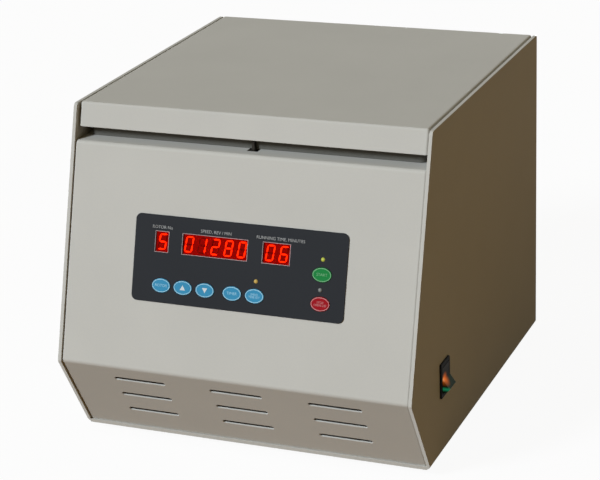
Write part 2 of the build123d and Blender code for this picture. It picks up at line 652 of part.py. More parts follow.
def hinge_arms():
    """Goose-neck arms on the deck that carry the lid's pins."""
    made = []
    for side in (-1, 1):
        x = side * HINGE_X
        half = HINGE_ARM / 2
        ahead = ARM_FRONT
        rise = HINGE_EAR - HINGE_TUCK
        outline = [(ahead, DECK_TOP), (ahead, HINGE_Z + rise), (HINGE_Y, HINGE_Z + rise),
                   (HINGE_Y, HINGE_Z - rise), (ahead + HINGE_NECK, HINGE_Z - rise),
                   (ahead + HINGE_NECK, DECK_TOP)]
        arm = profile(outline, (x - half, x + half), [(1, HINGE_NECK / 2)])
        arm += rod((x - half, HINGE_Y, HINGE_Z), (x + half, HINGE_Y, HINGE_Z), HINGE_EAR)
        arm += block((x - HINGE_WIDE / 2, x + HINGE_WIDE / 2), (ahead, ahead + HINGE_FOOT),
                     (DECK_TOP, DECK_TOP + HINGE_ARM))
        bore = rod((x - half - PASS, HINGE_Y, HINGE_Z), (x + half + PASS, HINGE_Y, HINGE_Z),
                   HINGE_PIN + RUNNING)
        made.append(arm - bore)
    return made


def hinge_lugs():
    """Pairs of angle lugs under the lid cover, one on each side of an arm."""
    made = []
    for side in (-1, 1):
        for way in (-1, 1):
            near = side * HINGE_X + way * (HINGE_ARM / 2 + FIT)
            far, end = near + way * HINGE_LUG, near + way * LUG_TAB
            long = (HINGE_Y - HINGE_EAR, PANEL_BACK - LID_ROUND)
            lug = block(sorted((near, far)), long, (HINGE_Z, LINER_TOP))
            lug += rod((near, HINGE_Y, HINGE_Z), (far, HINGE_Y, HINGE_Z), HINGE_EAR)
            lug += block(sorted((near, end)), long, (LINER_TOP - HINGE_LUG, LINER_TOP))
            made.append(lug - rod((near - way * PASS, HINGE_Y, HINGE_Z),
                                  (end + way * PASS, HINGE_Y, HINGE_Z), HINGE_PIN))
    return made


def hinge_pins():
    """Pins fast in the lid's lugs that turn in the arms."""
    reach = HINGE_ARM / 2 + FIT + HINGE_LUG
    return [rod((side * HINGE_X - reach, HINGE_Y, HINGE_Z), (side * HINGE_X + reach, HINGE_Y, HINGE_Z),
                HINGE_PIN) for side in (-1, 1)]


# ---------------------------------------------------------------- chamber and drive
def chamber_bowl():
    """Spun stainless bowl that hangs by its flange in the deck."""
    out, lip = BOWL_R + BOWL_WALL, BOWL_R + BOWL_WALL + BOWL_FLANGE
    outline = [(BOWL_HOLE, BOWL_LOW), (out, BOWL_LOW), (out, DECK_TOP), (lip, DECK_TOP),
               (lip, BOWL_TOP), (BOWL_R, BOWL_TOP), (BOWL_R, BOWL_FLOOR), (BOWL_HOLE, BOWL_FLOOR)]
    return turned(outline, [(1, BOWL_ROUND + BOWL_WALL), (6, BOWL_ROUND)])


def shaft_boot():
    """Rubber boot that closes the bowl's hole around the motor's nose."""
    neck = BOWL_HOLE - BOOT_PLAY
    skirt = BOWL_HOLE + BOOT_SKIRT
    inside = NOSE_R - BOOT_LIP
    outline = [(NOSE_R, MOTOR_TOP), (skirt, MOTOR_TOP), (skirt, BOWL_LOW), (neck, BOWL_LOW),
               (neck, BOWL_FLOOR + BOOT_UP), (inside, BOWL_FLOOR + BOOT_UP),
               (inside, MOTOR_TOP + MOTOR_NOSE), (NOSE_R, MOTOR_TOP + MOTOR_NOSE)]
    return turned(outline)


def motor_plate():
    """Steel plate that carries the motor on its dampers."""
    half = PLATE_SIZE / 2
    plate = block((-half, half), (CHAMBER_Y - half, CHAMBER_Y + half), (PLATE_Z, MOTOR_LOW))
    return fillet(plate.edges().filter_by(Axis.Z), DAMPER_R)


def motor_dampers():
    """Four rubber buffers between the floor and the motor plate."""
    out = PLATE_SIZE / 2 - DAMPER_R - DAMPER_IN
    return [drum((sx * out, CHAMBER_Y + sy * out), (FLOOR_TOP, PLATE_Z), DAMPER_R)
            for sx in (-1, 1) for sy in (-1, 1)]


def motor_housing():
    """Closed motor with its stator bore and two bearing seats."""
    body = turned([(0, MOTOR_LOW), (MOTOR_R, MOTOR_LOW), (MOTOR_R, MOTOR_TOP), (NOSE_R, MOTOR_TOP),
                   (NOSE_R, MOTOR_TOP + MOTOR_NOSE), (0, MOTOR_TOP + MOTOR_NOSE)], [(2, MOTOR_ROUND)])
    body -= drum(AXIS, STATOR, STATOR_BORE)
    return body - drum(AXIS, (MOTOR_LOW + SHAFT_SEAT, MOTOR_TOP + MOTOR_NOSE + PASS), SHAFT_R + RUNNING)


def armature_shaft():
    """Motor shaft with its armature; the top carries the rotor."""
    shaft = drum(AXIS, (MOTOR_LOW + SHAFT_SEAT + FIT, HUB_TOP + NUT_H - NUT_CAP), SHAFT_R)
    armature = (STATOR[0] + END_GAP, STATOR[1] - END_GAP)
    return shaft + drum(AXIS, armature, STATOR_BORE - AIR_GAP)


# ---------------------------------------------------------------- rotor
TAIL_U = FUNNEL_BACK + FUNNEL_PLATE + CARD_GAP + SLIDE_T       # inner face of the clip's back plate
CLIP_OUT = TAIL_U + CLIP_T
CHEEK = SLIDE_W / 2 + FIT
EAR_IN = CHEEK + CLIP_T + EAR_GAP
STEP_BACK = CLIP_OUT * cos(radians(LEAN)) + CLIP_TAIL * sin(radians(LEAN))
RIM_IN = sqrt((PIVOT_R + STEP_BACK) ** 2 + (CHEEK + CLIP_T) ** 2) + FIT
STOP_R = PIVOT_R - FOOT_AHEAD - FIT                            # leaning clips' feet rest at this radius


def station(number):
    """Turn of one carrier station about the rotor axis, at its pivot."""
    return Pos(*AXIS, 0) * Rot(0, 0, number * 360 / STATIONS) * Pos(PIVOT_R, 0, PIVOT_Z)


def leaning(number):
    """The same station with the carrier leaning in on its stop."""
    return station(number) * Rot(0, -LEAN, 0)


def rotor_body():
    """Turned disc with hub, rim, stop ring and a pair of ears per station."""
    rim_out = RIM_IN + RIM_WALL
    body = turned([(0, DISC_Z), (rim_out, DISC_Z), (rim_out, DISC_TOP + RIM_H), (RIM_IN, DISC_TOP + RIM_H),
                   (RIM_IN, DISC_TOP), (HUB_R, DISC_TOP), (HUB_R, HUB_TOP), (0, HUB_TOP)],
                  [(2, RIM_WALL / 3), (6, HUB_ROUND)])
    body += ring(STOP_R - STOP_WALL, STOP_R, (DISC_TOP - SINK, DISC_TOP + STOP_H))
    for n in range(STATIONS):
        for side in (-1, 1):
            y = sorted((side * EAR_IN, side * (EAR_IN + EAR_T)))
            ear = block((-EAR_HALF, EAR_HALF), y, (-PIVOT_UP - SINK, 0))
            ear += rod((0, y[0], 0), (0, y[1], 0), EAR_HALF)
            body += station(n) * (ear - rod((0, y[0] - PASS, 0), (0, y[1] + PASS, 0), PIN_R + RUNNING))
        turn = Rot(0, 0, (n + 0.5) * 360 / STATIONS)
        lighten = Pos((HUB_R + STOP_R - STOP_WALL) / 2, 0, DISC_Z - PASS)
        hole = Cylinder(LIGHTEN_R, DISC_T + 2 * PASS, align=FROM_BELOW)
        body -= Pos(*AXIS, 0) * turn * lighten * hole
    return body - drum(AXIS, (DISC_Z - PASS, HUB_TOP + PASS), SHAFT_R)


def rotor_nut():
    """Knurled nut that holds the rotor on the shaft."""
    nut = drum(AXIS, (HUB_TOP, HUB_TOP + NUT_H), NUT_R)
    nut = fillet(nut.edges().filter_by(GeomType.CIRCLE), NUT_ROUND)
    for i in range(FLUTES):
        place = Pos(*AXIS, HUB_TOP + FLUTE_IN) * Rot(0, 0, i * 360 / FLUTES) * Pos(NUT_R, 0, 0)
        nut -= place * Cylinder(FLUTE_R, NUT_H - 2 * FLUTE_IN, align=FROM_BELOW)
    return nut - drum(AXIS, (HUB_TOP - PASS, HUB_TOP + NUT_H - NUT_CAP), SHAFT_R)


# ---------------------------------------------------------------- slide carriers
SLIDE_LOW = -CLIP_TAIL + CLIP_T
SLIDE_TOP = SLIDE_LOW + SLIDE_H
CLIP_HALF = CHEEK + CLIP_T


def slide_clip():
    """Steel clip: back plate with a window, foot, cheeks, yoke bar and two trunnions."""
    half, window = CLIP_HALF, CLIP_HALF / 2
    clip = block((TAIL_U, CLIP_OUT), (-half, half), (-CLIP_TAIL, SLIDE_TOP + CLIP_T))
    clip -= block((TAIL_U - PASS, CLIP_OUT + PASS), (-window, window), (PORT_UP / 2, YOKE[0]))
    clip += block((-FOOT_AHEAD, CLIP_OUT), (-half, half), (-CLIP_TAIL, SLIDE_LOW))
    clip += block((TAIL_U - CLIP_HOLD, CLIP_OUT), (-window, window),
                  (SLIDE_TOP + FIT, SLIDE_TOP + FIT + CLIP_T))
    for side in (-1, 1):
        y = sorted((side * CHEEK, side * half))
        clip += block((-CLIP_T, CLIP_OUT), y, (-CLIP_TAIL, YOKE[1]))
        clip += rod((0, side * CHEEK, 0), (0, side * (EAR_IN + EAR_T), 0), PIN_R)
        clip += rod((0, side * half, 0), (0, side * (EAR_IN - FIT), 0), PIN_R + 2 * CLIP_T)
    return clip + block((-CLIP_T, 0), (-half, half), YOKE)


def glass_slide():
    """Microscope slide standing on the clip's foot against its back plate."""
    return block((TAIL_U - SLIDE_T, TAIL_U), (-SLIDE_W / 2, SLIDE_W / 2), (SLIDE_LOW, SLIDE_TOP))


def sample_funnel():
    """Moulded sample chamber: plate, port and an open cup with a flared mouth."""
    half = SLIDE_W / 2 - PLATE_EDGE
    face = FUNNEL_BACK + FUNNEL_PLATE
    plate = block((FUNNEL_BACK, face), (-half, half), (-PLATE_DOWN, CUP_TOP - FLARE))
    port = rod((-CUP_IN, 0, PORT_UP), (FUNNEL_BACK + SINK, 0, PORT_UP), PORT_R)
    cup_outline = [(0, CUP_LOW), (CUP_R, CUP_LOW), (CUP_R, CUP_TOP - FLARE), (MOUTH_R, CUP_TOP),
                   (0, CUP_TOP)]
    hollow = [(0, CUP_LOW + CUP_WALL), (CUP_R - CUP_WALL, CUP_LOW + CUP_WALL),
              (CUP_R - CUP_WALL, CUP_TOP - FLARE), (MOUTH_R - CUP_WALL, CUP_TOP), (0, CUP_TOP)]
    faces = [make_face(Polyline([(r, 0, z) for r, z in line], close=True)).face()
             for line in (cup_outline, hollow)]
    cup, bore = [Pos(-CUP_IN, 0, 0) * revolve(face, axis=Axis.Z) for face in faces]
    funnel = plate + port + cup - bore
    return funnel - rod((-CUP_IN, 0, PORT_UP), (face + PASS, 0, PORT_UP), PORT_BORE)


# ---------------------------------------------------------------- front controls
def control_overlay():
    """Keypad face with openings for windows, keys and lamps."""
    centre = (OVERLAY_X, OVERLAY_DOWN)
    sheet = punch(RectangleRounded(OVERLAY_W, OVERLAY_H, OVERLAY_ROUND), *centre, (0, OVERLAY_T))
    return sheet - face_openings((-PASS, OVERLAY_T + PASS))


def display_windows():
    """Dark red filter panes set in the panel's cut-outs."""
    return [punch(Rectangle(wide, WINDOW_H), x, WINDOW_DOWN, (-SHEET, OVERLAY_T - PANE_UNDER))
            for x, wide, _ in WINDOWS]


def display_digits():
    """Seven-segment modules, side by side behind each window."""
    made = []
    for x, _, count in WINDOWS:
        for i in range(count):
            centre = x + (i - (count - 1) / 2) * DIGIT_PITCH
            module = Rectangle(DIGIT_PITCH - DIGIT_GAP, DIGIT_H)
            made.append(punch(module, centre, WINDOW_DOWN, (BOARD_FACE, DIGIT_FACE)))
    return made


def control_board():
    """Board behind the panel with a switch under each key and a plug strip."""
    wide, high = OVERLAY_W - 2 * BOARD_EDGE, OVERLAY_H - 2 * BOARD_EDGE
    centre = (OVERLAY_X, OVERLAY_DOWN)
    board = punch(Rectangle(wide, high), *centre, (BOARD_FACE - BOARD_T, BOARD_FACE))
    top = KEY_BACK - KEY_TRAVEL - FIT
    into = BOARD_FACE - BOARD_T / 2
    for place in KEYS.values():
        board += punch(Rectangle(SWITCH_BODY, SWITCH_BODY), *place, (into, top - SWITCH_STEM))
        board += punch(Circle(SWITCH_STEM), *place, (BOARD_FACE, top))
    plug = Rectangle(PLUG_LONG, SWITCH_BODY)
    return board + punch(plug, *centre, (BOARD_FACE - BOARD_T - SWITCH_BODY, into))


def status_lamps():
    """Three round lamps standing on the board, domed through the overlay."""
    made = []
    for x, down in LAMPS:
        top = OVERLAY_T + LAMP_PROUD
        lamp = punch(Circle(LAMP_R), x, down, (BOARD_FACE, top))
        rims = lamp.edges().filter_by(GeomType.CIRCLE)
        dome = rims.sort_by_distance(on_front(x, down, top).position)[0]
        made.append(fillet(dome, LAMP_ROUND))
    return made


def key(x, down):
    """One elliptical key: face through the overlay, wider skirt behind the panel."""
    face = punch(Ellipse(KEY_W / 2, KEY_H / 2), x, down, (KEY_BACK, OVERLAY_T + KEY_PROUD))
    rim = face.edges().sort_by_distance(on_front(x, down, OVERLAY_T + KEY_PROUD).position)[0]
    face = fillet(rim, KEY_ROUND)
    skirt = Ellipse(KEY_W / 2 + KEY_SKIRT, KEY_H / 2 + KEY_SKIRT)
    return face + punch(skirt, x, down, (KEY_BACK, -SHEET - FIT))


# ---------------------------------------------------------------- power switch
BEZEL_FACE = HALF_W + BEZEL_T
ROCKER_PX = BEZEL_FACE - ROCKER_V * cos(radians(ROCKER_TILT))   # pivot, set so the pressed half is flush


def rocker_bezel():
    """Switch body: outer frame, walls around the rocker and three blades at the back."""
    across, up = SWITCH_HALF

    def around(x, side, end):
        """Box around the rocker, between two depths."""
        return block(x, (ROCKER_Y - side, ROCKER_Y + side), (ROCKER_Z - end, ROCKER_Z + end))

    frame = around((HALF_W, BEZEL_FACE), across + BEZEL_SIDE, up + BEZEL_END)
    frame = fillet(frame.edges().filter_by(Axis.X), BEZEL_ROUND)
    frame = fillet(frame.faces().sort_by(Axis.X)[-1].edges(), BEZEL_EASE)
    body_back = HALF_W - SWITCH_DEEP
    floor = ROCKER_PX - ROCKER_R + ROCKER_BACK
    switch = frame + around((body_back, BEZEL_FACE - SINK), across, up)
    switch -= around((floor, BEZEL_FACE + PASS), CAVITY_SIDE, CAVITY_HALF)
    wide, thick = BLADE_SIZE
    for step in (-1, 0, 1):
        centre = ROCKER_Z + step * BLADE_PITCH_Z
        switch += block((body_back - BLADE_LONG, body_back + SINK),
                        (ROCKER_Y - wide / 2, ROCKER_Y + wide / 2), (centre - thick / 2, centre + thick / 2))
    ends = [(ROCKER_PX, ROCKER_Y + side * (across + PASS), ROCKER_Z) for side in (-1, 1)]
    return switch - rod(*ends, ROCKER_PIN + RUNNING)


def rocker():
    """Rocker with a shallow V face, its lower half standing proud in the ON position."""
    reach = 2 * ROCKER_R
    lift = ROCKER_V + reach * tan(radians(ROCKER_TILT))
    outline = [(-ROCKER_BACK, -reach), (lift, -reach), (ROCKER_V, 0), (lift, reach), (-ROCKER_BACK, reach)]
    wedge = make_face(Polyline([(x, 0, z) for x, z in outline], close=True)).face()
    half = ROCKER_W / 2
    body = Pos(0, -half, 0) * extrude(wedge, amount=ROCKER_W, dir=(0, 1, 0))
    body &= rod((0, -half, 0), (0, half, 0), ROCKER_R)
    pin = SWITCH_HALF[0] - SWITCH_PLAY
    body += rod((0, -pin, 0), (0, pin, 0), ROCKER_PIN)
    return Pos(ROCKER_PX, ROCKER_Y, ROCKER_Z) * Rot(0, -ROCKER_TILT, 0) * body


# ---------------------------------------------------------------- lid lock
def lock_housing():
    """Lock under the deck: hook pocket and the bolt's channel."""
    body = block((-LOCK_HALF, LOCK_HALF), LOCK_Y, (HOOK_Z - LOCK_WALL, DECK_Z))
    half = BOLT_SIZE / 2 + FIT
    body -= block((-half, half), (SLOT_Y[0], BOLT_TIP - FIT), (HOOK_Z - HOOK_ROUND, DECK_Z + PASS))
    channel = (BOLT_Z[0] - FIT, BOLT_Z[1] + FIT)
    body -= block((-half, half), (BOLT_TIP - SINK, BOLT_END + FIT), channel)
    return Pos(LATCH_X, 0, 0) * body


def lock_bolt():
    """Square bolt, drawn back; it slides forward over the hook's beak."""
    half = BOLT_SIZE / 2
    bolt = block((-half, half), (BOLT_TIP, BOLT_END), BOLT_Z)
    tip = bolt.faces().sort_by(Axis.Y)[0]
    return Pos(LATCH_X, 0, 0) * fillet(tip.edges().filter_by(Axis.X), BOLT_ROUND)


# ---------------------------------------------------------------- back fittings
def fan_drum(y, radius):
    """Round bar on the fan's axis between two depths."""
    return rod((FAN_X, y[0], FAN_Z), (FAN_X, y[1], FAN_Z), radius)


def fan_frame():
    """Square fan frame with four struts, the hub plate and the impeller's pin."""
    half = FAN_SIZE / 2
    frame = block((FAN_X - half, FAN_X + half), FAN_Y, (FAN_Z - half, FAN_Z + half))
    frame = fillet(frame.edges().filter_by(Axis.Y), FAN_ROUND)
    frame -= fan_drum((FAN_Y[0] - PASS, FAN_Y[1] + PASS), FAN_BORE)
    plate = (FAN_Y[0], FAN_Y[0] + FAN_PLATE)
    reach = FAN_BORE + SINK
    bars = block((-reach, reach), plate, (-FAN_PLATE / 2, FAN_PLATE / 2))
    for turn in (45, 135):
        frame += Pos(FAN_X, 0, FAN_Z) * Rot(0, turn, 0) * bars
    return frame + fan_drum(plate, FAN_HUB) + fan_drum((FAN_Y[0], plate[1] + PIN_OUT), FAN_PIN)


def fan_impeller():
    """Hub cup with pitched blades, turning on the frame's pin."""
    low, high = FAN_Y[0] + FAN_PLATE + FIT, FAN_Y[1] - FAN_SETBACK
    hub = fan_drum((low, high), FAN_HUB)
    tip = FAN_BORE - BLADE_TIP_GAP
    chord = (high - low - 2 * BLADE_IN) / cos(radians(BLADE_PITCH))
    for i in range(BLADES):
        blade = Box(tip - FAN_HUB + 2 * SINK, chord, BLADE_T)
        blade = Pos((FAN_HUB + tip) / 2, 0, 0) * Rot(BLADE_PITCH, 0, 0) * blade
        blade &= rod((0, -chord, 0), (0, chord, 0), tip)
        hub += Pos(FAN_X, (low + high) / 2, FAN_Z) * Rot(0, i * 360 / BLADES, 0) * blade
    return hub - fan_drum((low - PASS, FAN_Y[0] + FAN_PLATE + PIN_OUT + FIT), FAN_PIN + RUNNING)


def fan_guard():
    """Wire guard: rings on crossed bars, standing off the panel on four legs."""
    y = PANEL_BACK + GUARD_OFF
    hoops = [Torus(FAN_BORE - GUARD_EDGE - i * GUARD_STEP, GUARD_WIRE) for i in range(GUARD_COUNT)]
    guard = Pos(FAN_X, y, FAN_Z) * Rot(90, 0, 0) * (hoops[0] + hoops[1:])
    reach = (FAN_BORE + GUARD_LEG) * cos(radians(45))
    for way in (-1, 1):
        ends = [(FAN_X + s * reach, y, FAN_Z + s * way * reach) for s in (-1, 1)]
        guard += rod(*ends, GUARD_WIRE)
        for x, _, z in ends:
            guard += rod((x, PANEL_BACK, z), (x, y + GUARD_WIRE, z), GUARD_WIRE)
    return guard


def inlet_block(size, y):
    """Box on the inlet's axis, as (width, height), between two depths."""
    wide, high = size
    return block((INLET_X - wide / 2, INLET_X + wide / 2), y, (INLET_Z - high / 2, INLET_Z + high / 2))


def power_inlet():
    """Appliance inlet: flange outside the panel, body with an open socket and three pins."""
    mouth = PANEL_BACK + INLET_T
    seat = mouth - SOCKET_DEEP
    flange = inlet_block(INLET_FLANGE, (PANEL_BACK, mouth))
    flange = fillet(flange.edges().filter_by(Axis.Y), INLET_ROUND)
    inlet = flange + inlet_block(INLET_BODY, (PANEL_BACK - INLET_DEEP, PANEL_BACK + INLET_T / 2))
    inlet -= inlet_block([size - 2 * INLET_WALL for size in INLET_BODY], (seat, mouth + PASS))
    wide, high = PIN_SIZE
    for x, up in INLET_PINS:
        x, z = INLET_X + x, INLET_Z + up
        inlet += block((x - wide / 2, x + wide / 2), (seat - SINK, seat + PIN_LONG),
                       (z - high / 2, z + high / 2))
    return inlet


def drive_unit():
    """Motor drive in a metal box with cooling fins."""
    wide, long, high = DRIVE_BOX
    x0 = -INNER + DRIVE_GAP
    y0 = CHAMBER_Y - long / 2
    top = FLOOR_TOP + high
    unit = block((x0, x0 + wide), (y0, y0 + long), (FLOOR_TOP, top))
    for i in range(FINS):
        x = x0 + FIN_T / 2 + i * (wide - FIN_T) / (FINS - 1)
        unit += block((x - FIN_T / 2, x + FIN_T / 2), (y0, y0 + long), (top, top + FIN_H))
    return unit


# ---------------------------------------------------------------- every node
NODES = {
    "case_shell": [case_shell()], "front_panel": [front_panel()], "back_panel": [back_panel()],
    "top_deck": [top_deck()], "feet": feet(), "pan_screws": screws(),
    "lid_cover": [lid_cover()], "lid_liner": [lid_liner()], "lid_seal": [lid_seal()],
    "lid_hook": [lid_hook()], "hinge_arms": hinge_arms(), "hinge_lugs": hinge_lugs(),
    "hinge_pins": hinge_pins(), "chamber_bowl": [chamber_bowl()], "shaft_boot": [shaft_boot()],
    "motor_plate": [motor_plate()], "motor_dampers": motor_dampers(),
    "motor_housing": [motor_housing()], "armature_shaft": [armature_shaft()],
    "rotor_body": [rotor_body()], "rotor_nut": [rotor_nut()],
    "control_overlay": [control_overlay()], "display_windows": display_windows(),
    "display_digits": display_digits(), "control_board": [control_board()],
    "status_lamps": status_lamps(), "rocker_bezel": [rocker_bezel()], "rocker": [rocker()],
    "lock_housing": [lock_housing()], "lock_bolt": [lock_bolt()], "fan_frame": [fan_frame()],
    "fan_impeller": [fan_impeller()], "fan_guard": [fan_guard()], "power_inlet": [power_inlet()],
    "drive_unit": [drive_unit()],
}
for name, (x, down) in KEYS.items():
    NODES[name] = [key(x, down)]
CARRIER = {"slide_clip": slide_clip(), "glass_slide": glass_slide(), "sample_funnel": sample_funnel()}
for n in range(STATIONS):
    for name, piece in CARRIER.items():
        NODES[f"{name}_{n + 1}"] = [leaning(n) * piece]

for name, pieces in NODES.items():
    solids = [solid for piece in pieces for solid in piece.solids()]
    export_step(solids[0] if len(solids) == 1 else Compound(solids), f"parts/{name}.step")
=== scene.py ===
import logging
import math
from dataclasses import dataclass, replace
from enum import Enum
from functools import reduce
from typing import Any, Callable, Sequence

import bmesh
import bpy
from mathutils import Matrix, Vector


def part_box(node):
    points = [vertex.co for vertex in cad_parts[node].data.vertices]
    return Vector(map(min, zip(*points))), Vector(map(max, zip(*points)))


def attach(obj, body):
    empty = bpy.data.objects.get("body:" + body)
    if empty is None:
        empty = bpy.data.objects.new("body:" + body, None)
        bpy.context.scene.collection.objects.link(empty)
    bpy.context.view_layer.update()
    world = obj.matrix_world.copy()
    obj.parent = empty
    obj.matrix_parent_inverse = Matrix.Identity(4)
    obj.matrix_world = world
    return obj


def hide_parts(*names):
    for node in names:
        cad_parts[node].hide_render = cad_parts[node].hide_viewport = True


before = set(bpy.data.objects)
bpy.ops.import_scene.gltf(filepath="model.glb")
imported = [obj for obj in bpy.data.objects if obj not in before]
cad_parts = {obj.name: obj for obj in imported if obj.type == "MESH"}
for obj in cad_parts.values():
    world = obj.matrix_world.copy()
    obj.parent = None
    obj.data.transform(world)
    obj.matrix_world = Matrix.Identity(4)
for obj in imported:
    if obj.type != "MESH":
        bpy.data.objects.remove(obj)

# Looks of a bench-top cytocentrifuge. Lengths are metres, +X right, +Y back, +Z up.

LOG = logging.getLogger("cytocentrifuge")
MM = 0.001
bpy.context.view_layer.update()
CAPITAL_SHARE = 0.69        # height of a capital over the font's size
LINE_SPACE = 0.85           # of printed lines, over the font's own
CURVE_STEPS = 3             # along each curve of a letter
TINY = 0.01 * MM            # lengths under this don't count
MERGE = 0.002 * MM          # points of a new piece nearer than this are one
FLAT_DEG, BEVEL_DEG, SMOOTH_DEG = 0.5, 40.0, 35.0    # turns that are merged, rounded and shaded smooth
PRINT_DEG, PART_DEG, LENS_DEG = 20.0, 30.0, 50.0     # turns shaded smooth on print, parts and lenses
GRAIN_DETAIL, GRAIN_ROUGH, DRIFT_DETAIL = 3.0, 0.6, 2.0
GLOSS_VARY = 0.1            # how far the grain changes the roughness
BLACK, WHITE = (0.0, 0.0, 0.0, 1.0), (1.0, 1.0, 1.0, 1.0)
Point = tuple[float, float, float]
Tree = bpy.types.NodeTree
Socket = bpy.types.NodeSocket
Piece = bpy.types.Object
Material = bpy.types.Material


# -------- colour and nodes
def linear(code: str) -> tuple[float, float, float, float]:
    """Turns an sRGB hex colour into linear RGBA.

    Args:
        code: a hash and six hex digits.

    Returns:
        The colour as four linear numbers, with alpha 1.
    """
    parts = [int(code[i:i + 2], 16) / 255 for i in (1, 3, 5)]
    straight = [p / 12.92 if p <= 0.04045 else ((p + 0.055) / 1.055) ** 2.4 for p in parts]
    return (*straight, 1.0)


def empty_tree(owner: Any) -> Tree:
    """Gives a material or a world an empty node tree."""
    owner.use_nodes = True
    owner.node_tree.nodes.clear()
    return owner.node_tree


def add_node(tree: Tree, kind: str, settings: dict[str, Any] | None = None,
             inputs: dict[Any, Any] | None = None) -> bpy.types.Node:
    """Adds one shader node with its settings and links.

    Args:
        tree: the node tree.
        kind: Blender's name of the node type, without ShaderNode.
        settings: properties of the node itself.
        inputs: input socket to a constant or to the output socket that feeds it.

    Returns:
        The new node.
    """
    node = tree.nodes.new(f"ShaderNode{kind}")
    for key, value in (settings or {}).items():
        setattr(node, key, value)
    for key, value in (inputs or {}).items():
        if isinstance(value, Socket):
            tree.links.new(value, node.inputs[key])
        else:
            node.inputs[key].default_value = value
    return node


def maths(tree: Tree, operation: str, *values: Any, kind: str = "Math") -> Socket:
    """Adds a sum, a product or the like of numbers, or with kind VectorMath of vectors."""
    node = add_node(tree, kind, {"operation": operation}, dict(enumerate(values)))
    return node.outputs["Vector" if kind == "VectorMath" and operation != "LENGTH" else "Value"]


def own_place(tree: Tree) -> Socket:
    """Adds the place on the surface in the machine's own axes."""
    return add_node(tree, "TexCoord").outputs["Object"]


def spread(tree: Tree, value: Socket, low: float, high: float, start: float = 0.3,
           end: float = 0.7) -> Socket:
    """Maps a pattern, so that its value start gives low and its value end gives high."""
    return add_node(tree, "MapRange", inputs={
        "Value": value, "From Min": start, "From Max": end, "To Min": low, "To Max": high}).outputs["Result"]


@dataclass(frozen=True)
class Finish:
    """A surface finish with a grain and a slow drift of tone.

    The grain is noise on object coordinates, as fine as grain_mm, stretched by stretch.
    """

    name: str
    colour: str
    rough: float
    metallic: float = 0.0
    ior: float = 1.5
    grain_mm: float = 1.0
    bump_mm: float = 0.01
    tone: float = 0.04
    drift: float = 0.03
    drift_mm: float = 70.0
    stretch: Point = (1.0, 1.0, 1.0)
    specular: float = 0.5

    def grain(self, tree: Tree) -> Socket:
        """Adds the grain's noise, from 0 to 1."""
        turned = add_node(tree, "Mapping", inputs={"Vector": own_place(tree), "Scale": self.stretch})
        return add_node(tree, "TexNoise", inputs={
            "Vector": turned.outputs["Vector"], "Scale": 1 / (self.grain_mm * MM),
            "Detail": GRAIN_DETAIL, "Roughness": GRAIN_ROUGH}).outputs["Fac"]

    def toned(self, tree: Tree, grain: Socket) -> Socket:
        """Colours the surface with its grain and its slow drift of tone.

        Args:
            tree: the material's node tree.
            grain: the grain's socket.

        Returns:
            The colour's socket.
        """
        slow = add_node(tree, "TexNoise", inputs={
            "Vector": own_place(tree), "Scale": 1 / (self.drift_mm * MM),
            "Detail": DRIFT_DETAIL}).outputs["Fac"]
        fine = spread(tree, grain, 1 - self.tone, 1 + self.tone)
        wide = spread(tree, slow, 1 - self.drift, 1 + self.drift)
        return add_node(tree, "VectorMath", {"operation": "SCALE"}, {
            0: self.base(tree), "Scale": maths(tree, "MULTIPLY", fine, wide)}).outputs["Vector"]

    def base(self, tree: Tree) -> Any:
        """Gives the colour before grain and drift: one colour, unless a kind of finish has more."""
        return linear(self.colour)[:3]

    def shade(self, tree: Tree, shader: bpy.types.Node) -> None:
        """Adds what a kind of finish has beyond colour, grain and gloss. Plain ones have nothing."""

    def make(self) -> Material:
        """Builds the material.

        Returns:
            The finished material.
        """
        material = bpy.data.materials.new(self.name)
        tree = empty_tree(material)
        grain = self.grain(tree)
        bump = add_node(tree, "Bump", inputs={
            "Height": grain, "Strength": 1.0, "Distance": self.bump_mm * MM})
        shader = add_node(tree, "BsdfPrincipled", inputs={
            "Base Color": self.toned(tree, grain), "Metallic": self.metallic,
            "Roughness": spread(tree, grain, self.rough * (1 - GLOSS_VARY),
                                min(1.0, self.rough * (1 + GLOSS_VARY))),
            "Normal": bump.outputs["Normal"], "Specular IOR Level": self.specular})
        if self.metallic == 0:
            shader.inputs["IOR"].default_value = self.ior
        self.shade(tree, shader)
        add_node(tree, "OutputMaterial", inputs={"Surface": shader.outputs["BSDF"]})
        return material


class Axis(Enum):
    """The three object axes, as their place in a separated vector."""

    X = 0
    Y = 1
    Z = 2


def between(tree: Tree, axis: Axis, low: float, high: float, soft: float = 0.05 * MM) -> Socket:
    """Masks the slab between two places on one object axis.

    Args:
        tree: the node tree.
        axis: the axis that the slab is square to.
        low: where the slab starts, in metres.
        high: where it ends, in metres.
        soft: width of its soft edges, in metres.

    Returns:
        A socket that is 1 inside the slab and 0 outside.
    """
    value = add_node(tree, "SeparateXYZ", inputs={0: own_place(tree)}).outputs[axis.value]
    rise = spread(tree, value, 0.0, 1.0, low - soft, low + soft)
    fall = spread(tree, value, 1.0, 0.0, high - soft, high + soft)
    return maths(tree, "MULTIPLY", rise, fall)


def blend_colour(tree: Tree, mask: Socket, under: Any, over: Any) -> Socket:
    """Lays one colour over another where a mask is 1."""
    return add_node(tree, "Mix", {"data_type": "RGBA"}, {0: mask, 6: under, 7: over}).outputs[2]


@dataclass(frozen=True)
class Glowing(Finish):
    """A finish that also gives light of one colour."""

    glow: str = "#ff3010"
    power: float = 1.0

    def shade(self, tree: Tree, shader: bpy.types.Node) -> None:
        """Sets the light that the surface gives."""
        shader.inputs["Emission Color"].default_value = linear(self.glow)
        shader.inputs["Emission Strength"].default_value = self.power


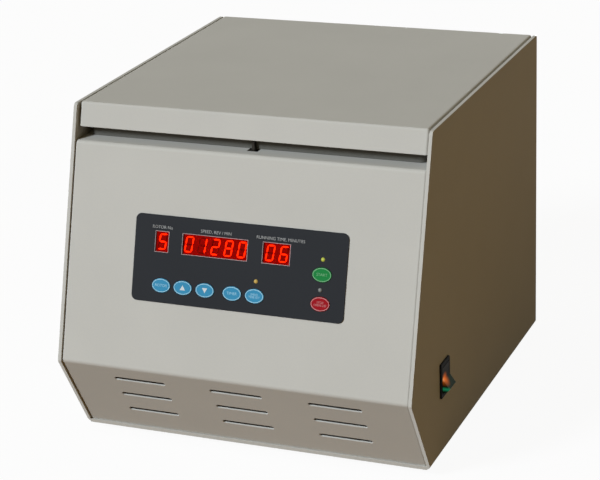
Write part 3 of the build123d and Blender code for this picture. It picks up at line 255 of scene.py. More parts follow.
@dataclass(frozen=True)
class Clear(Finish):
    """A clear finish that lets light through, such as glass or acrylic."""

    clear: float = 1.0

    def shade(self, tree: Tree, shader: bpy.types.Node) -> None:
        """Lets light through the surface, and tints what it mirrors with its own colour."""
        shader.inputs["Transmission Weight"].default_value = self.clear
        shader.inputs["Specular Tint"].default_value = linear(self.colour)


@dataclass(frozen=True)
class LitRocker(Finish):
    """Smoky rocker whose lower half is clear: an orange lamp glows in it, over a green foot, with a painted
    highlight glowing near its front edge.
    """

    middle: Point = (173.1 * MM, -112.1 * MM, 84.2 * MM)
    half: float = 13.0 * MM
    green: str = "#0d3a28"
    power: float = 0.7
    # Each spot: its colour, how far ahead of the pivot, how far under it, its reach and its fade.
    # The first two spots are the lamp's glow; the third, pale spot is a painted highlight on the rocker's
    # front edge.
    spots: tuple = (("#1a8458", 0.72, 0.60, 0.19, 1.0), ("#ff7410", 0.38, -0.06, 0.56, 1.5),
                    ("#ff9f5c", 0.62, -0.10, 0.20, 1.0))
    squash: Point = (0.0, 0.85, 1.0)
    seam: float = 0.4 * MM
    seam_soft: float = 0.3 * MM
    below: float = -1.0

    def lower(self, tree: Tree) -> Socket:
        """Masks the half below the pivot."""
        return between(tree, Axis.Z, self.below, self.middle[2] - self.seam, self.seam_soft)

    def spot(self, tree: Tree, ahead: float, drop: float, reach: float, fade: float) -> Socket:
        """Masks a soft round spot on the rocker, with lengths over the rocker's half height.

        Args:
            tree: the node tree.
            ahead: how far the spot lies in front of the pivot.
            drop: how far it lies under the pivot.
            reach: its radius.
            fade: how fast it fades from its middle.

        Returns:
            The mask's socket.
        """
        centre = (self.middle[0], self.middle[1] - ahead * self.half, self.middle[2] - drop * self.half)
        away = maths(tree, "SUBTRACT", own_place(tree), centre, kind="VectorMath")
        flat = maths(tree, "MULTIPLY", away, self.squash, kind="VectorMath")
        near = spread(tree, maths(tree, "LENGTH", flat, kind="VectorMath"), 1.0, 0.0, 0.0, reach * self.half)
        return maths(tree, "POWER", near, fade)

    def base(self, tree: Tree) -> Socket:
        """Colours the rocker black above its middle and dark green below."""
        return blend_colour(tree, self.lower(tree), linear(self.colour), linear(self.green))

    def shade(self, tree: Tree, shader: bpy.types.Node) -> None:
        """Lights the lower half from inside: orange round the lamp, green at its foot, and a painted
        highlight near its front edge.
        """
        light: Any = BLACK
        for code, *spot in self.spots:
            light = blend_colour(tree, self.spot(tree, *spot), light, linear(code))
        tree.links.new(light, shader.inputs["Emission Color"])
        shader.inputs["Emission Strength"].default_value = self.power


@dataclass(frozen=True)
class PinnedSocket(Finish):
    """Black moulding with plated pins in the middle of a socket."""

    node: str = "power_inlet"
    half: tuple[float, float] = (11.5 * MM, 8.0 * MM)
    deep: tuple[float, float] = (188.4 * MM, 200.4 * MM)
    pin: str = "#c9b98a"

    def pins(self, tree: Tree) -> Socket:
        """Masks the space inside the socket that only the pins fill."""
        low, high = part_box(self.node)
        (x, _, z), (wide, tall) = (low + high) / 2, self.half
        slabs = ((Axis.X, x - wide, x + wide), (Axis.Y, *self.deep), (Axis.Z, z - tall, z + tall))
        return reduce(lambda one, other: maths(tree, "MULTIPLY", one, other),
                      [between(tree, *slab) for slab in slabs])

    def base(self, tree: Tree) -> Socket:
        """Colours the pins apart from the moulding."""
        return blend_colour(tree, self.pins(tree), linear(self.colour), linear(self.pin))

    def shade(self, tree: Tree, shader: bpy.types.Node) -> None:
        """Makes the pins metal."""
        tree.links.new(self.pins(tree), shader.inputs["Metallic"])


@dataclass(frozen=True)
class Turned(Finish):
    """Metal with fine rings about an upright axis, as turning or spinning leaves it."""

    centre: Point = (0.0, 0.0, 0.0)
    pitch_mm: float = 0.8

    def grain(self, tree: Tree) -> Socket:
        """Draws rings about the axis, broken up a little along their length."""
        away = maths(tree, "SUBTRACT", own_place(tree), self.centre, kind="VectorMath")
        flat = maths(tree, "MULTIPLY", away, (1.0, 1.0, 0.0), kind="VectorMath")
        high = add_node(tree, "SeparateXYZ", inputs={0: away}).outputs[2]
        radius = maths(tree, "LENGTH", flat, kind="VectorMath")
        ringed = add_node(tree, "CombineXYZ", inputs={0: radius, 1: high})
        return add_node(tree, "TexNoise", inputs={
            "Vector": ringed.outputs["Vector"], "Scale": 1 / (self.pitch_mm * MM),
            "Detail": DRIFT_DETAIL}).outputs["Fac"]


def under_film(colour: str, code: str) -> Finish:
    """Gives ink of one colour under the keypad's film."""
    return Finish(f"{colour}_ink_under_film", code, 0.45, ior=1.58, grain_mm=0.45, bump_mm=0.005, tone=0.04,
                  specular=0.05)


def screen_printed(colour: str, code: str) -> Finish:
    """Gives screen-printed ink of one colour."""
    return Finish(f"screen_printed_{colour}_ink", code, 0.6, grain_mm=0.25, bump_mm=0.004, tone=0.08,
                  specular=0.1)


@dataclass(frozen=True)
class Finishes:
    """Every finish of the machine, each named for the real material and how its surface was made."""

    # Polyester powder coat, sprayed and baked: satin, with a faint orange peel a millimetre or two across.
    powder: Finish = Finish(
        "powder_coated_sheet_steel", "#c3c1bb", 0.55, grain_mm=1.6, bump_mm=0.012, tone=0.012, drift=0.015,
        specular=0.12)
    # Moulded ABS fittings: matt, with a fine spark-eroded texture.
    abs_black: Finish = Finish(
        "spark_textured_black_abs", "#101112", 0.55, grain_mm=0.7, bump_mm=0.02, tone=0.12, specular=0.15)
    # Vacuum-formed ABS pan in the lid: mid grey, slightly glossier than the fittings. Its grey is also
    # painted darker, as painted shade in the gap under the lid's front lip.
    abs_liner: Finish = Finish(
        "vacuum_formed_grey_abs", "#62615c", 0.45, grain_mm=1.2, bump_mm=0.02, tone=0.05, specular=0.15)
    # Pickled and passivated steel: dull grey, without the plating's shine.
    pickled: Finish = Finish(
        "pickled_steel_hook", "#45413c", 0.55, metallic=1.0, grain_mm=0.8, bump_mm=0.008, tone=0.12)
    # Moulded nitrile rubber: dull black with a dusty bloom.
    rubber: Finish = Finish(
        "moulded_nitrile_rubber", "#1c1b1a", 0.8, grain_mm=0.9, bump_mm=0.03, tone=0.15, specular=0.35)
    # Polycarbonate keypad film, printed from behind: even satin with a very fine velvet texture.
    film: Finish = Finish(
        "velvet_polycarbonate_film", "#2b2d31", 0.5, ior=1.58, grain_mm=0.45, bump_mm=0.006, tone=0.10,
        specular=0.05)
    # Domed key tops of the same film over coloured ink.
    ink_blue: Finish = under_film("blue", "#3c8fb8")
    ink_green: Finish = under_film("green", "#1c8240")
    ink_red: Finish = under_film("red", "#9c0f1c")
    # Screen-printed inks for arrows, labels, borders and legends: flat and slightly uneven.
    ink_pale: Finish = screen_printed("pale", "#d2dade")
    ink_grey: Finish = screen_printed("grey", "#a3a4a4")
    ink_rose: Finish = screen_printed("rose_grey", "#b39c9e")
    tint_blue: Finish = screen_printed("light_blue", "#a0cfe4")
    tint_green: Finish = screen_printed("light_green", "#7db588")
    tint_red: Finish = screen_printed("light_red", "#c98a8c")
    # Cast red acrylic filter in front of the digits.
    filter_red: Finish = Clear(
        "cast_red_acrylic", "#ff4a36", 0.08, ior=1.49, grain_mm=2.0, bump_mm=0.001, tone=0.02, specular=0.1)
    # Epoxy-filled digit module: dark red face. Its faint red glow is painted light, standing in for the lit
    # segments' light spilling over it.
    module: Finish = Glowing(
        "epoxy_digit_module", "#2a0606", 0.5, grain_mm=0.8, bump_mm=0.005, tone=0.2, specular=0.1,
        glow="#ff1004", power=0.2)
    # Diffused resin bar over a lit chip.
    segment: Finish = Glowing(
        "lit_diffused_resin", "#ff4a20", 0.4, grain_mm=0.6, bump_mm=0.004, tone=0.05, glow="#ff7a1c",
        power=3.2)
    segment_off: Finish = Finish(
        "unlit_diffused_resin", "#4a1210", 0.4, grain_mm=0.6, bump_mm=0.004, tone=0.05)
    # Moulded epoxy lamp lenses.
    lamp_amber: Finish = Glowing(
        "lit_amber_epoxy_lens", "#b09650", 0.3, grain_mm=0.5, bump_mm=0.003, specular=0.25, glow="#ffd068",
        power=0.16)
    lamp_lime: Finish = Glowing(
        "lit_lime_epoxy_lens", "#a4ac44", 0.3, grain_mm=0.5, bump_mm=0.003, specular=0.25, glow="#e8f060",
        power=0.18)
    lamp_off: Finish = Finish(
        "unlit_water_clear_lens", "#868987", 0.3, grain_mm=0.5, bump_mm=0.003, specular=0.25)
    # Cold-rolled and zinc-plated steel brackets, with a faint blue-white cast.
    zinc: Finish = Finish(
        "zinc_plated_steel", "#a9adb2", 0.35, metallic=1.0, grain_mm=1.5, bump_mm=0.01, tone=0.10, drift=0.06,
        drift_mm=12.0)
    # Drawn steel wire with bright nickel plating.
    wire: Finish = Finish(
        "bright_nickel_wire", "#c9c8c4", 0.18, metallic=1.0, grain_mm=1.0, bump_mm=0.004, tone=0.05,
        drift=0.05, drift_mm=9.0)
    # Stainless sheet brushed along one way: streaks tens of times longer than wide.
    brushed: Finish = Finish(
        "brushed_stainless_sheet", "#bab8b3", 0.30, metallic=1.0, grain_mm=0.5, bump_mm=0.006, tone=0.08,
        stretch=(1.0, 1.0, 0.05))
    # Permanent-mould aluminium: grey with a shallow pebbled skin.
    cast: Finish = Finish(
        "permanent_mould_aluminium", "#9a9c9e", 0.55, metallic=1.0, grain_mm=2.2, bump_mm=0.05, tone=0.10,
        drift=0.06)
    # Microscope slide: float glass with ground edges.
    slide: Finish = Clear(
        "float_glass_slide", "#eef6f2", 0.04, ior=1.52, grain_mm=5.0, bump_mm=0.001, tone=0.01)
    # Natural polypropylene funnel: milky, waxy and a little see-through.
    funnel: Finish = Clear(
        "natural_polypropylene", "#e6e6dc", 0.38, ior=1.49, grain_mm=1.2, bump_mm=0.01, tone=0.03, clear=0.35)
    # Blotting card: soft fibres a fraction of a millimetre across, drawn coarser so that they show.
    card: Finish = Finish(
        "unsized_blotting_card", "#ebe8dd", 0.95, grain_mm=0.6, bump_mm=0.05, tone=0.06, specular=0.2)
    # Glass-epoxy board under green solder mask.
    board: Finish = Finish("green_solder_mask", "#0f4a26", 0.35, grain_mm=2.4, bump_mm=0.03, tone=0.15)
    # Spun stainless bowl: rings that show as a soft sheen.
    spun: Finish = Turned(
        "spun_stainless_bowl", "#b7b6b1", 0.28, metallic=1.0, bump_mm=0.01, tone=0.07, pitch_mm=1.1)
    # Turned and clear-anodised aluminium rotor.
    lathe: Finish = Turned(
        "turned_anodised_aluminium", "#a6a9ae", 0.38, metallic=1.0, bump_mm=0.008, tone=0.08, pitch_mm=0.7)
    # Ground shaft steel.
    shaft: Finish = Turned(
        "turned_shaft_steel", "#b2b1ae", 0.25, metallic=1.0, bump_mm=0.006, tone=0.06, pitch_mm=0.5)
    # Clear green rocker with its lamp behind it, and a painted highlight drawn as glow on its front edge.
    rocker: Finish = LitRocker(
        "clear_green_polycarbonate_rocker", "#0b0c0c", 0.35, ior=1.58, grain_mm=0.8, bump_mm=0.004, tone=0.08,
        specular=0.1)
    # Glass-filled nylon inlet with plated pins.
    inlet: Finish = PinnedSocket(
        "moulded_nylon_inlet", "#141414", 0.5, grain_mm=0.8, bump_mm=0.015, tone=0.12)


# -------- mesh work
def deselect() -> None:
    """Leaves edit mode and deselects every object."""
    if bpy.context.object and bpy.context.object.mode != "OBJECT":
        bpy.ops.object.mode_set(mode="OBJECT")
    bpy.ops.object.select_all(action="DESELECT")


def choose(obj: Piece) -> None:
    """Selects one object alone and makes it active."""
    deselect()
    obj.select_set(True)
    bpy.context.view_layer.objects.active = obj


def pick(obj: Piece, want: Callable[[Any], bool], kind: str) -> None:
    """Selects the parts of the mesh in edit mode that answer a question, and nothing else.

    Args:
        obj: the object, in edit mode.
        want: says whether a face, edge or vertex is wanted.
        kind: faces, edges or verts.
    """
    mesh = bmesh.from_edit_mesh(obj.data)
    for group in (mesh.faces, mesh.edges, mesh.verts):
        for item in group:
            item.select = False
    mesh.select_mode = {kind[:-1].upper()}
    for item in filter(want, getattr(mesh, kind)):
        item.select_set(True)
    mesh.select_flush_mode()
    bmesh.update_edit_mesh(obj.data)


def link(obj: Piece) -> Piece:
    """Puts a new object into the scene."""
    bpy.context.scene.collection.objects.link(obj)
    return obj


def call(obj: Piece, name: str) -> Piece:
    """Names a piece and its mesh."""
    obj.name = name
    obj.data.name = name
    return obj


def select_mesh(action: str = "SELECT") -> None:
    """Selects or deselects the whole mesh in edit mode."""
    bpy.ops.mesh.select_all(action=action)


def edit(obj: Piece) -> None:
    """Selects one object and enters edit mode with everything deselected."""
    choose(obj)
    bpy.ops.object.mode_set(mode="EDIT")
    select_mesh("DESELECT")


def freeze() -> Piece:
    """Puts the active piece's place, turn and size into its mesh."""
    bpy.ops.object.transform_apply(location=True, rotation=True, scale=True)
    return bpy.context.object


def object_mode() -> None:
    """Leaves edit mode."""
    bpy.ops.object.mode_set(mode="OBJECT")


def settle(obj: Piece, name: str, smooth_deg: float) -> Piece:
    """Names a piece, puts its place into its mesh, cleans it and shades it.

    Args:
        obj: the piece.
        name: its name.
        smooth_deg: edges that turn less than this are shaded smooth.

    Returns:
        The same piece, at the origin, unturned and unscaled.
    """
    choose(obj)
    freeze()
    edit(obj)
    select_mesh()
    bpy.ops.mesh.remove_doubles(threshold=MERGE)
    bpy.ops.mesh.normals_make_consistent(inside=False)
    object_mode()
    bpy.ops.object.shade_smooth_by_angle(angle=math.radians(smooth_deg))
    return call(obj, name)


def place(obj: Piece, matrix: Matrix) -> Piece:
    """Moves a piece's mesh by a matrix, with the object left at the origin.

    Args:
        obj: the piece.
        matrix: where its own frame goes.

    Returns:
        The same piece.
    """
    obj.data.transform(matrix)
    obj.data.update()
    return obj


def twin(obj: Piece, name: str, matrix: Matrix) -> Piece:
    """Copies a piece, with a mesh of its own, and moves the copy.

    Args:
        obj: the piece to copy.
        name: the copy's name.
        matrix: where the copy goes from the first piece's place.

    Returns:
        The copy.
    """
    copy = obj.copy()
    copy.data = obj.data.copy()
    return place(link(call(copy, name)), matrix)


def join(pieces: Sequence[Piece], name: str) -> Piece:
    """Joins pieces into one.

    Args:
        pieces: the pieces to join.
        name: the joined piece's name.

    Returns:
        The joined piece.
    """
    choose(pieces[0])
    for piece in pieces:
        piece.select_set(True)
    bpy.ops.object.join()
    return call(bpy.context.object, name)


def apply(obj: Piece, kind: str, settings: dict[str, Any]) -> None:
    """Adds a modifier to a piece and applies it.

    Args:
        obj: the piece.
        kind: Blender's name of the modifier type.
        settings: the modifier's properties.
    """
    choose(obj)
    modifier = obj.modifiers.new(kind.title(), kind)
    for key, value in settings.items():
        setattr(modifier, key, value)
    bpy.ops.object.modifier_apply(modifier=modifier.name)


def cut(obj: Piece, tool: Piece) -> None:
    """Cuts one mesh out of another and deletes the tool."""
    apply(obj, "BOOLEAN", {"object": tool, "operation": "DIFFERENCE", "solver": "EXACT"})
    bpy.data.objects.remove(tool)


def dress(obj: Piece, material: Material, body: str | None = None) -> Piece:
    """Gives a piece its material, and says what it rides on.

    Args:
        obj: the piece or CAD node.
        material: its only material.
        body: the CAD body a new piece rides on.

    Returns:
        The same piece.
    """
    obj.data.materials.clear()
    obj.data.materials.append(material)
    if body:
        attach(obj, body)
    return obj


def softened(node: str, width: float, name: str, shape: Callable[[Piece], None] | None = None) -> Piece:
    """Copies a CAD node's mesh and rounds its hard edges, as paint and folding leave them.

    Args:
        node: the CAD node.
        width: width of the rounding, in metres.
        name: the new piece's name.
        shape: what to do to the copy in edit mode before it is rounded.

    Returns:
        The rounded piece, which still has to ride on a body.
    """
    piece = link(bpy.data.objects.new(name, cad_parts[node].data.copy()))
    edit(piece)
    select_mesh()
    bpy.ops.mesh.remove_doubles(threshold=TINY)
    bpy.ops.mesh.dissolve_limited(angle_limit=math.radians(FLAT_DEG))
    if shape:
        shape(piece)
    select_mesh("DESELECT")
    object_mode()
    apply(piece, "BEVEL", {"width": width, "segments": 2, "limit_method": "ANGLE",
                           "angle_limit": math.radians(BEVEL_DEG), "harden_normals": False})
    choose(piece)
    bpy.ops.object.shade_smooth_by_angle(angle=math.radians(SMOOTH_DEG))
    apply(piece, "WEIGHTED_NORMAL", {"mode": "FACE_AREA", "keep_sharp": True})
    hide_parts(node)
    return piece


def new_drum(radius: float, high: float, vertices: int, low: float = 0.0) -> Piece:
    """Makes an upright drum.

    Args:
        radius: its radius, in metres.
        high: its height, in metres.
        vertices: corners of its outline.
        low: where it stands, in metres.

    Returns:
        The drum.
    """
    deselect()
    bpy.ops.mesh.primitive_cylinder_add(vertices=vertices, radius=radius, depth=high,
                                        location=(0, 0, low + high / 2))
    return freeze()


def new_box(size: Point, centre: Point, turn: float = 0.0) -> Piece:
    """Makes a box.

    Args:
        size: its size along each axis, in metres.
        centre: its middle.
        turn: how far it is turned about the upright, in radians.

    Returns:
        The box.
    """
    deselect()
    bpy.ops.mesh.primitive_cube_add(size=1.0, location=centre, rotation=(0, 0, turn))
    bpy.context.object.scale = size
    return freeze()


def thicken(thick: float) -> None:
    """Gives the flat mesh in edit mode its thickness, and leaves edit mode."""
    select_mesh()
    bpy.ops.mesh.extrude_region_move(TRANSFORM_OT_translate={"value": (0, 0, thick)})
    object_mode()


def dome(obj: Piece, high: float, wide: float, segments: int) -> None:
    """Rounds the top edge of a drum that stands on z = 0.

    Args:
        obj: the drum.
        high: its height, in metres.
        wide: width of the rounding, in metres.
        segments: how many steps the rounding has.
    """
    edit(obj)
    pick(obj, lambda e: all(v.co.z > high / 2 for v in e.verts), "edges")
    bpy.ops.mesh.bevel(offset=wide, segments=segments, profile=0.5)
    object_mode()


@dataclass
class Assembly:
    """A sub-assembly that takes its finishes from the book."""

    finishes: dict[str, Material]

    def paint(self, node: str, finish: str) -> None:
        """Gives a CAD node its finish."""
        dress(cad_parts[node], self.finishes[finish])


# -------- the sloped front
@dataclass(frozen=True)
class SlopedFront:
    """The front panel's outer face, with places given across it, down it and out of it."""

    slope: float = math.radians(17.0)
    front_y: float = -204.0 * MM
    nose_z: float = 94.4 * MM
    top_z: float = 326.0 * MM
    rim: float = 1.5 * MM

    def at(self, x: float, down: float, out: float = 0.0) -> Matrix:
        """Gives a place on the face, with X across, Y up the slope and Z out.

        Args:
            x: across, in metres.
            down: down the slope from the walls' top corner, in metres.
            out: out of the face, in metres.

        Returns:
            The place as a matrix.
        """
        run = math.tan(self.slope)
        corner_y = self.front_y + (self.top_z - self.nose_z) * run + self.rim / math.cos(self.slope)
        turn = Matrix.Rotation(math.pi / 2 - self.slope, 4, "X")
        corner = Matrix.Translation((x, corner_y, self.top_z))
        return corner @ turn @ Matrix.Translation((0, self.rim * run - down, out))


def plate(name: str, vertices: int, half: tuple[float, float], thick: float, band: float = 0.0) -> Piece:
    """Makes a flat plate or frame lying on z = 0.

    Args:
        name: its name.
        vertices: corners of its outline: four for a rectangle, more for an ellipse.
        half: half its width and half its height, in metres.
        thick: its thickness, in metres.
        band: width of a frame's band, in metres, or nothing for a whole plate.

    Returns:
        The plate or frame.
    """
    deselect()
    if vertices == 4:
        bpy.ops.mesh.primitive_plane_add(size=2.0)
    else:
        bpy.ops.mesh.primitive_circle_add(vertices=vertices, radius=1.0, fill_type="NGON")
    bpy.context.object.scale = (*half, 1.0)
    obj = freeze()
    edit(obj)
    if band:
        select_mesh()
        bpy.ops.mesh.inset(thickness=band)
        bpy.ops.mesh.delete(type="FACE")
    thicken(thick)
    return settle(obj, name, PART_DEG)


def lettering(text: str, height: float, thick: float, name: str) -> Piece:
    """Makes printed letters as a thin mesh, centred on z = 0.

    Args:
        text: what it says; a line break starts a new line.
        height: height of a capital, in metres.
        thick: thickness of the print, in metres.
        name: its name.

    Returns:
        The letters.
    """
    deselect()
    bpy.ops.object.text_add()
    obj = bpy.context.object
    obj.data.body = text
    obj.data.align_x = obj.data.align_y = "CENTER"
    obj.data.size = height / CAPITAL_SHARE
    obj.data.space_line = LINE_SPACE
    obj.data.resolution_u = CURVE_STEPS
    obj.data.extrude = thick / 2
    bpy.ops.object.convert(target="MESH")
    return settle(bpy.context.object, name, PRINT_DEG)


# -------- display
class Digit(Enum):
    """Segments that each figure lights, in the order top, upper right, lower right, bottom, lower left,
    upper left, middle."""

    ZERO = "1111110"
    ONE = "0110000"
    TWO = "1101101"
    FIVE = "1011011"
    SIX = "1011111"
    EIGHT = "1111111"


@dataclass
class Display(Assembly):
    """Three windows of seven-segment figures behind red filters."""

    front: SlopedFront
    down: float = 121.0 * MM
    window_high: float = 18.7 * MM
    pitch: float = 13.1 * MM
    figure_high: float = 16.4 * MM
    figure_wide: float = 9.3 * MM
    bar: float = 2.7 * MM
    gap: float = 0.15 * MM
    lean: float = math.radians(8.0)
    module_out: float = -2.0 * MM
    bar_thick: float = 0.2 * MM
    border: float = 0.45 * MM
    border_out: float = 0.8 * MM
    border_thick: float = 0.06 * MM
    windows: tuple = ((-76.1, 13.0, (Digit.FIVE,)),
                      (-23.3, 64.2, (Digit.ZERO, Digit.ONE, Digit.TWO, Digit.EIGHT, Digit.ZERO)),
                      (37.2, 26.3, (Digit.ZERO, Digit.SIX)))
    labels: tuple = (("ROTOR No", 0.0), ("SPEED, REV / MIN", 0.7 * MM), ("RUNNING TIME, MINUTES", 3.4 * MM))
    label_high: float = 2.8 * MM
    label_up: float = 3.9 * MM

    def bar_shape(self, long: float, name: str) -> Piece:
        """Makes one segment: a bar with pointed ends, lying along X.

        Args:
            long: its length from point to point, in metres.
            name: its name.

        Returns:
            The bar.
        """
        deselect()
        bpy.ops.mesh.primitive_circle_add(vertices=4, radius=self.bar / 2, fill_type="NGON")
        obj = bpy.context.object
        edit(obj)
        for side in (-1, 1):
            pick(obj, lambda v, s=side: v.co.x * s > self.bar / 4, "verts")
            bpy.ops.transform.translate(value=(side * (long - self.bar) / 2, 0, 0))
        pick(obj, lambda v: abs(v.co.x) < self.bar / 4, "verts")
        bpy.ops.mesh.bevel(offset=(long - self.bar) / 2, affect="VERTICES", segments=1)
        thicken(self.bar_thick)
        return settle(obj, name, PRINT_DEG)

    def figure(self, lit: bool, number: Digit, name: str) -> Piece | None:
        """Makes the lit or the unlit segments of one figure, centred on the origin.

        Args:
            lit: whether the lit ones are wanted.
            number: the figure.
            name: the piece's name.

        Returns:
            The segments as one piece, or nothing if the figure has none of that kind.
        """
        wide, high = self.figure_wide - self.bar, (self.figure_high - self.bar) / 2
        spots = [(0, high, 0, wide), (wide / 2, high / 2, 90, high), (wide / 2, -high / 2, 90, high),
                 (0, -high, 0, wide), (-wide / 2, -high / 2, 90, high), (-wide / 2, high / 2, 90, high),
                 (0, 0, 0, wide)]
        made = []
        for index, (x, y, turn, long) in enumerate(spots):
            if (number.value[index] == "1") != lit:
                continue
            bar = self.bar_shape(long - self.gap, f"{name}_{index}")
            turned = Matrix.Rotation(math.radians(turn), 4, "Z")
            made.append(place(bar, Matrix.Translation((x, y, 0)) @ turned))
        if not made:
            return None
        shear = Matrix.Identity(4)
        shear[0][1] = math.tan(self.lean)
        return place(join(made, name), shear)

    def build(self) -> None:
        """Makes the segments, the borders of the windows and the labels over them."""
        for number, (x, wide, figures) in enumerate(self.windows):
            lit, dark = [], []
            for index, digit in enumerate(figures):
                across = x * MM + (index - (len(figures) - 1) / 2) * self.pitch
                spot = self.front.at(across, self.down, self.module_out)
                for state, group in ((True, lit), (False, dark)):
                    made = self.figure(state, digit, f"figure_{number}_{index}_{int(state)}")
                    if made:
                        group.append(place(made, spot))
            dress(join(lit, f"lit_segments_{number + 1}"), self.finishes["segment"], "case")
            if dark:
                dress(join(dark, f"dark_segments_{number + 1}"), self.finishes["segment_off"], "case")
            half = (wide * MM / 2 + self.border, self.window_high / 2 + self.border)
            border = plate(f"window_border_{number + 1}", 4, half, self.border_thick, self.border)
            place(border, self.front.at(x * MM, self.down, self.border_out))
            dress(border, self.finishes["ink_rose"], "case")
            text, along = self.labels[number]
            label = lettering(text, self.label_high, self.border_thick, f"label_{number + 1}")
            up = self.down - self.window_high / 2 - self.label_up
            place(label, self.front.at(x * MM + along, up, self.border_out + self.border_thick / 2))
            dress(label, self.finishes["ink_grey"], "case")
        self.paint("display_windows", "filter_red")
        self.paint("display_digits", "module")
        LOG.info("display: %d windows", len(self.windows))


# -------- keypad
class Ink(Enum):
    """Colour of a key's top, as the finish that gives it."""

    BLUE = "ink_blue"
    GREEN = "ink_green"
    RED = "ink_red"


class Lamp(Enum):
    """What a lamp shows, as the finish that gives it."""

    AMBER = "lamp_amber"
    LIME = "lamp_lime"
    OFF = "lamp_off"


@dataclass(frozen=True)
class Key:
    """One key: its node, its place on the face in millimetres, its ink and what is printed on it."""

    node: str
    x: float
    down: float
    ink: Ink
    text: str = ""
    arrow: int = 0


@dataclass
class Keypad(Assembly):
    """The keypad film with its keys, lamps and print."""

    front: SlopedFront
    key_half: tuple[float, float] = (9.2 * MM, 6.55 * MM)
    key_out: float = 1.5 * MM
    edge: float = 0.45 * MM
    ring_wide: float = 0.65 * MM
    ring_corners: int = 56
    print_thick: float = 0.05 * MM
    arrow_size: float = 3.1 * MM
    arrow_shift: float = 0.2
    text_high: float = 2.5 * MM
    small_text: float = 1.95 * MM
    lamp_r: float = 1.95 * MM
    lamp_high: float = 2.0 * MM
    lamp_dome: float = 0.85
    lamp_corners: int = 32
    lamp_steps: int = 6
    lamp_foot: float = 0.02 * MM
    keys: tuple = (Key("key_rotor", -73.9, 161.2, Ink.BLUE, "ROTOR"),
                   Key("key_up", -52.1, 161.2, Ink.BLUE, arrow=1),
                   Key("key_down", -30.0, 161.2, Ink.BLUE, arrow=-1),
                   Key("key_time", -3.0, 161.2, Ink.BLUE, "TIMER"),
                   Key("key_set", 19.0, 161.2, Ink.BLUE, "SPEED\nTIME SET"),
                   Key("key_start", 82.4, 135.4, Ink.GREEN, "START"),
                   Key("key_stop", 82.6, 161.6, Ink.RED, "STOP\nOPEN LID"))
    lamps: tuple = ((19.4, 147.8, Lamp.AMBER), (82.3, 121.7, Lamp.LIME), (81.6, 149.2, Lamp.OFF))

    def key(self, key: Key) -> None:
        """Dresses one key and prints its ring and its legend."""
        self.paint(key.node, key.ink.value)
        spot = self.front.at(key.x * MM, key.down * MM, self.key_out)
        half = tuple(size - self.edge for size in self.key_half)
        ring = plate(f"{key.node}_ring", self.ring_corners, half, self.print_thick, self.ring_wide)
        colour = key.ink.name.lower()
        slot, tint = f"{colour}_key", self.finishes[f"tint_{colour}"]
        dress(place(ring, spot), tint, key.node)
        if key.arrow:
            size = self.arrow_size
            legend = plate(f"{key.node}_legend", 3, (size, size), self.print_thick)
            turn = 0.0 if key.arrow > 0 else math.pi
            lift = Matrix.Translation((0, -key.arrow * size * self.arrow_shift, 0))
            legend = place(legend, lift @ Matrix.Rotation(turn, 4, "Z"))
        else:
            height = self.small_text if "\n" in key.text else self.text_high
            legend = lettering(key.text, height, self.print_thick, f"{key.node}_legend")
            legend = place(legend, Matrix.Translation((0, 0, self.print_thick / 2)))
        ink = self.finishes["ink_pale"] if key.arrow else tint
        dress(place(legend, spot), ink, key.node)

    def lamp(self, number: int, x: float, down: float, state: Lamp) -> Piece:
        """Makes one lamp lens: a short drum with a domed top.

        Args:
            number: counts the lamps.
            x: across the face, in millimetres.
            down: down the slope, in millimetres.
            state: what it shows.

        Returns:
            The lens.
        """
        obj = new_drum(self.lamp_r, self.lamp_high, self.lamp_corners)
        dome(obj, self.lamp_high, self.lamp_dome * self.lamp_r, self.lamp_steps)
        settle(obj, f"lamp_lens_{number}", LENS_DEG)
        place(obj, self.front.at(x * MM, down * MM, self.lamp_foot))
        return dress(obj, self.finishes[state.value], "case")

    def build(self) -> None:
        """Makes the keys' print and the lamps, and dresses the film."""
        for key in self.keys:
            self.key(key)
        for number, (x, down, state) in enumerate(self.lamps):
            self.lamp(number + 1, x, down, state)
        self.paint("control_overlay", "film")
        self.paint("status_lamps", "lamp_off")
        self.paint("control_board", "board")
        LOG.info("keypad: %d keys, %d lamps", len(self.keys), len(self.lamps))


# -------- case
@dataclass
class Casework(Assembly):
    """Folded and painted sheet metal: shell, front, back, deck and lid cover."""

    sheets: tuple = (("case_shell", "painted_shell", "case", 0.4 * MM),
                     ("front_panel", "painted_front", "case", 0.3 * MM),
                     ("back_panel", "painted_back", "case", 0.3 * MM),
                     ("lid_cover", "painted_lid", "lid", 0.45 * MM))
    floor_low: float = 10.1 * MM
    floor_front: float = -150.0 * MM
    toe: float = 1.88 * MM

    def square_toe(self, shell: Piece) -> None:
        """Squares the floor's slanted front edge, as a guillotine leaves it. The shell is in edit mode."""
        pick(shell, lambda v: v.co.z < self.floor_low and v.co.y < self.floor_front, "verts")
        bpy.ops.transform.translate(value=(0, -self.toe, 0))

    def build(self) -> None:
        """Rounds the sheets' raw edges and paints them."""
        for node, name, body, edge in self.sheets:
            sheet = softened(node, edge, name, self.square_toe if node == "case_shell" else None)
            dress(sheet, self.finishes["powder"], body)
            LOG.info("casework: %s", name)
        self.paint("top_deck", "powder")
        self.paint("feet", "rubber")


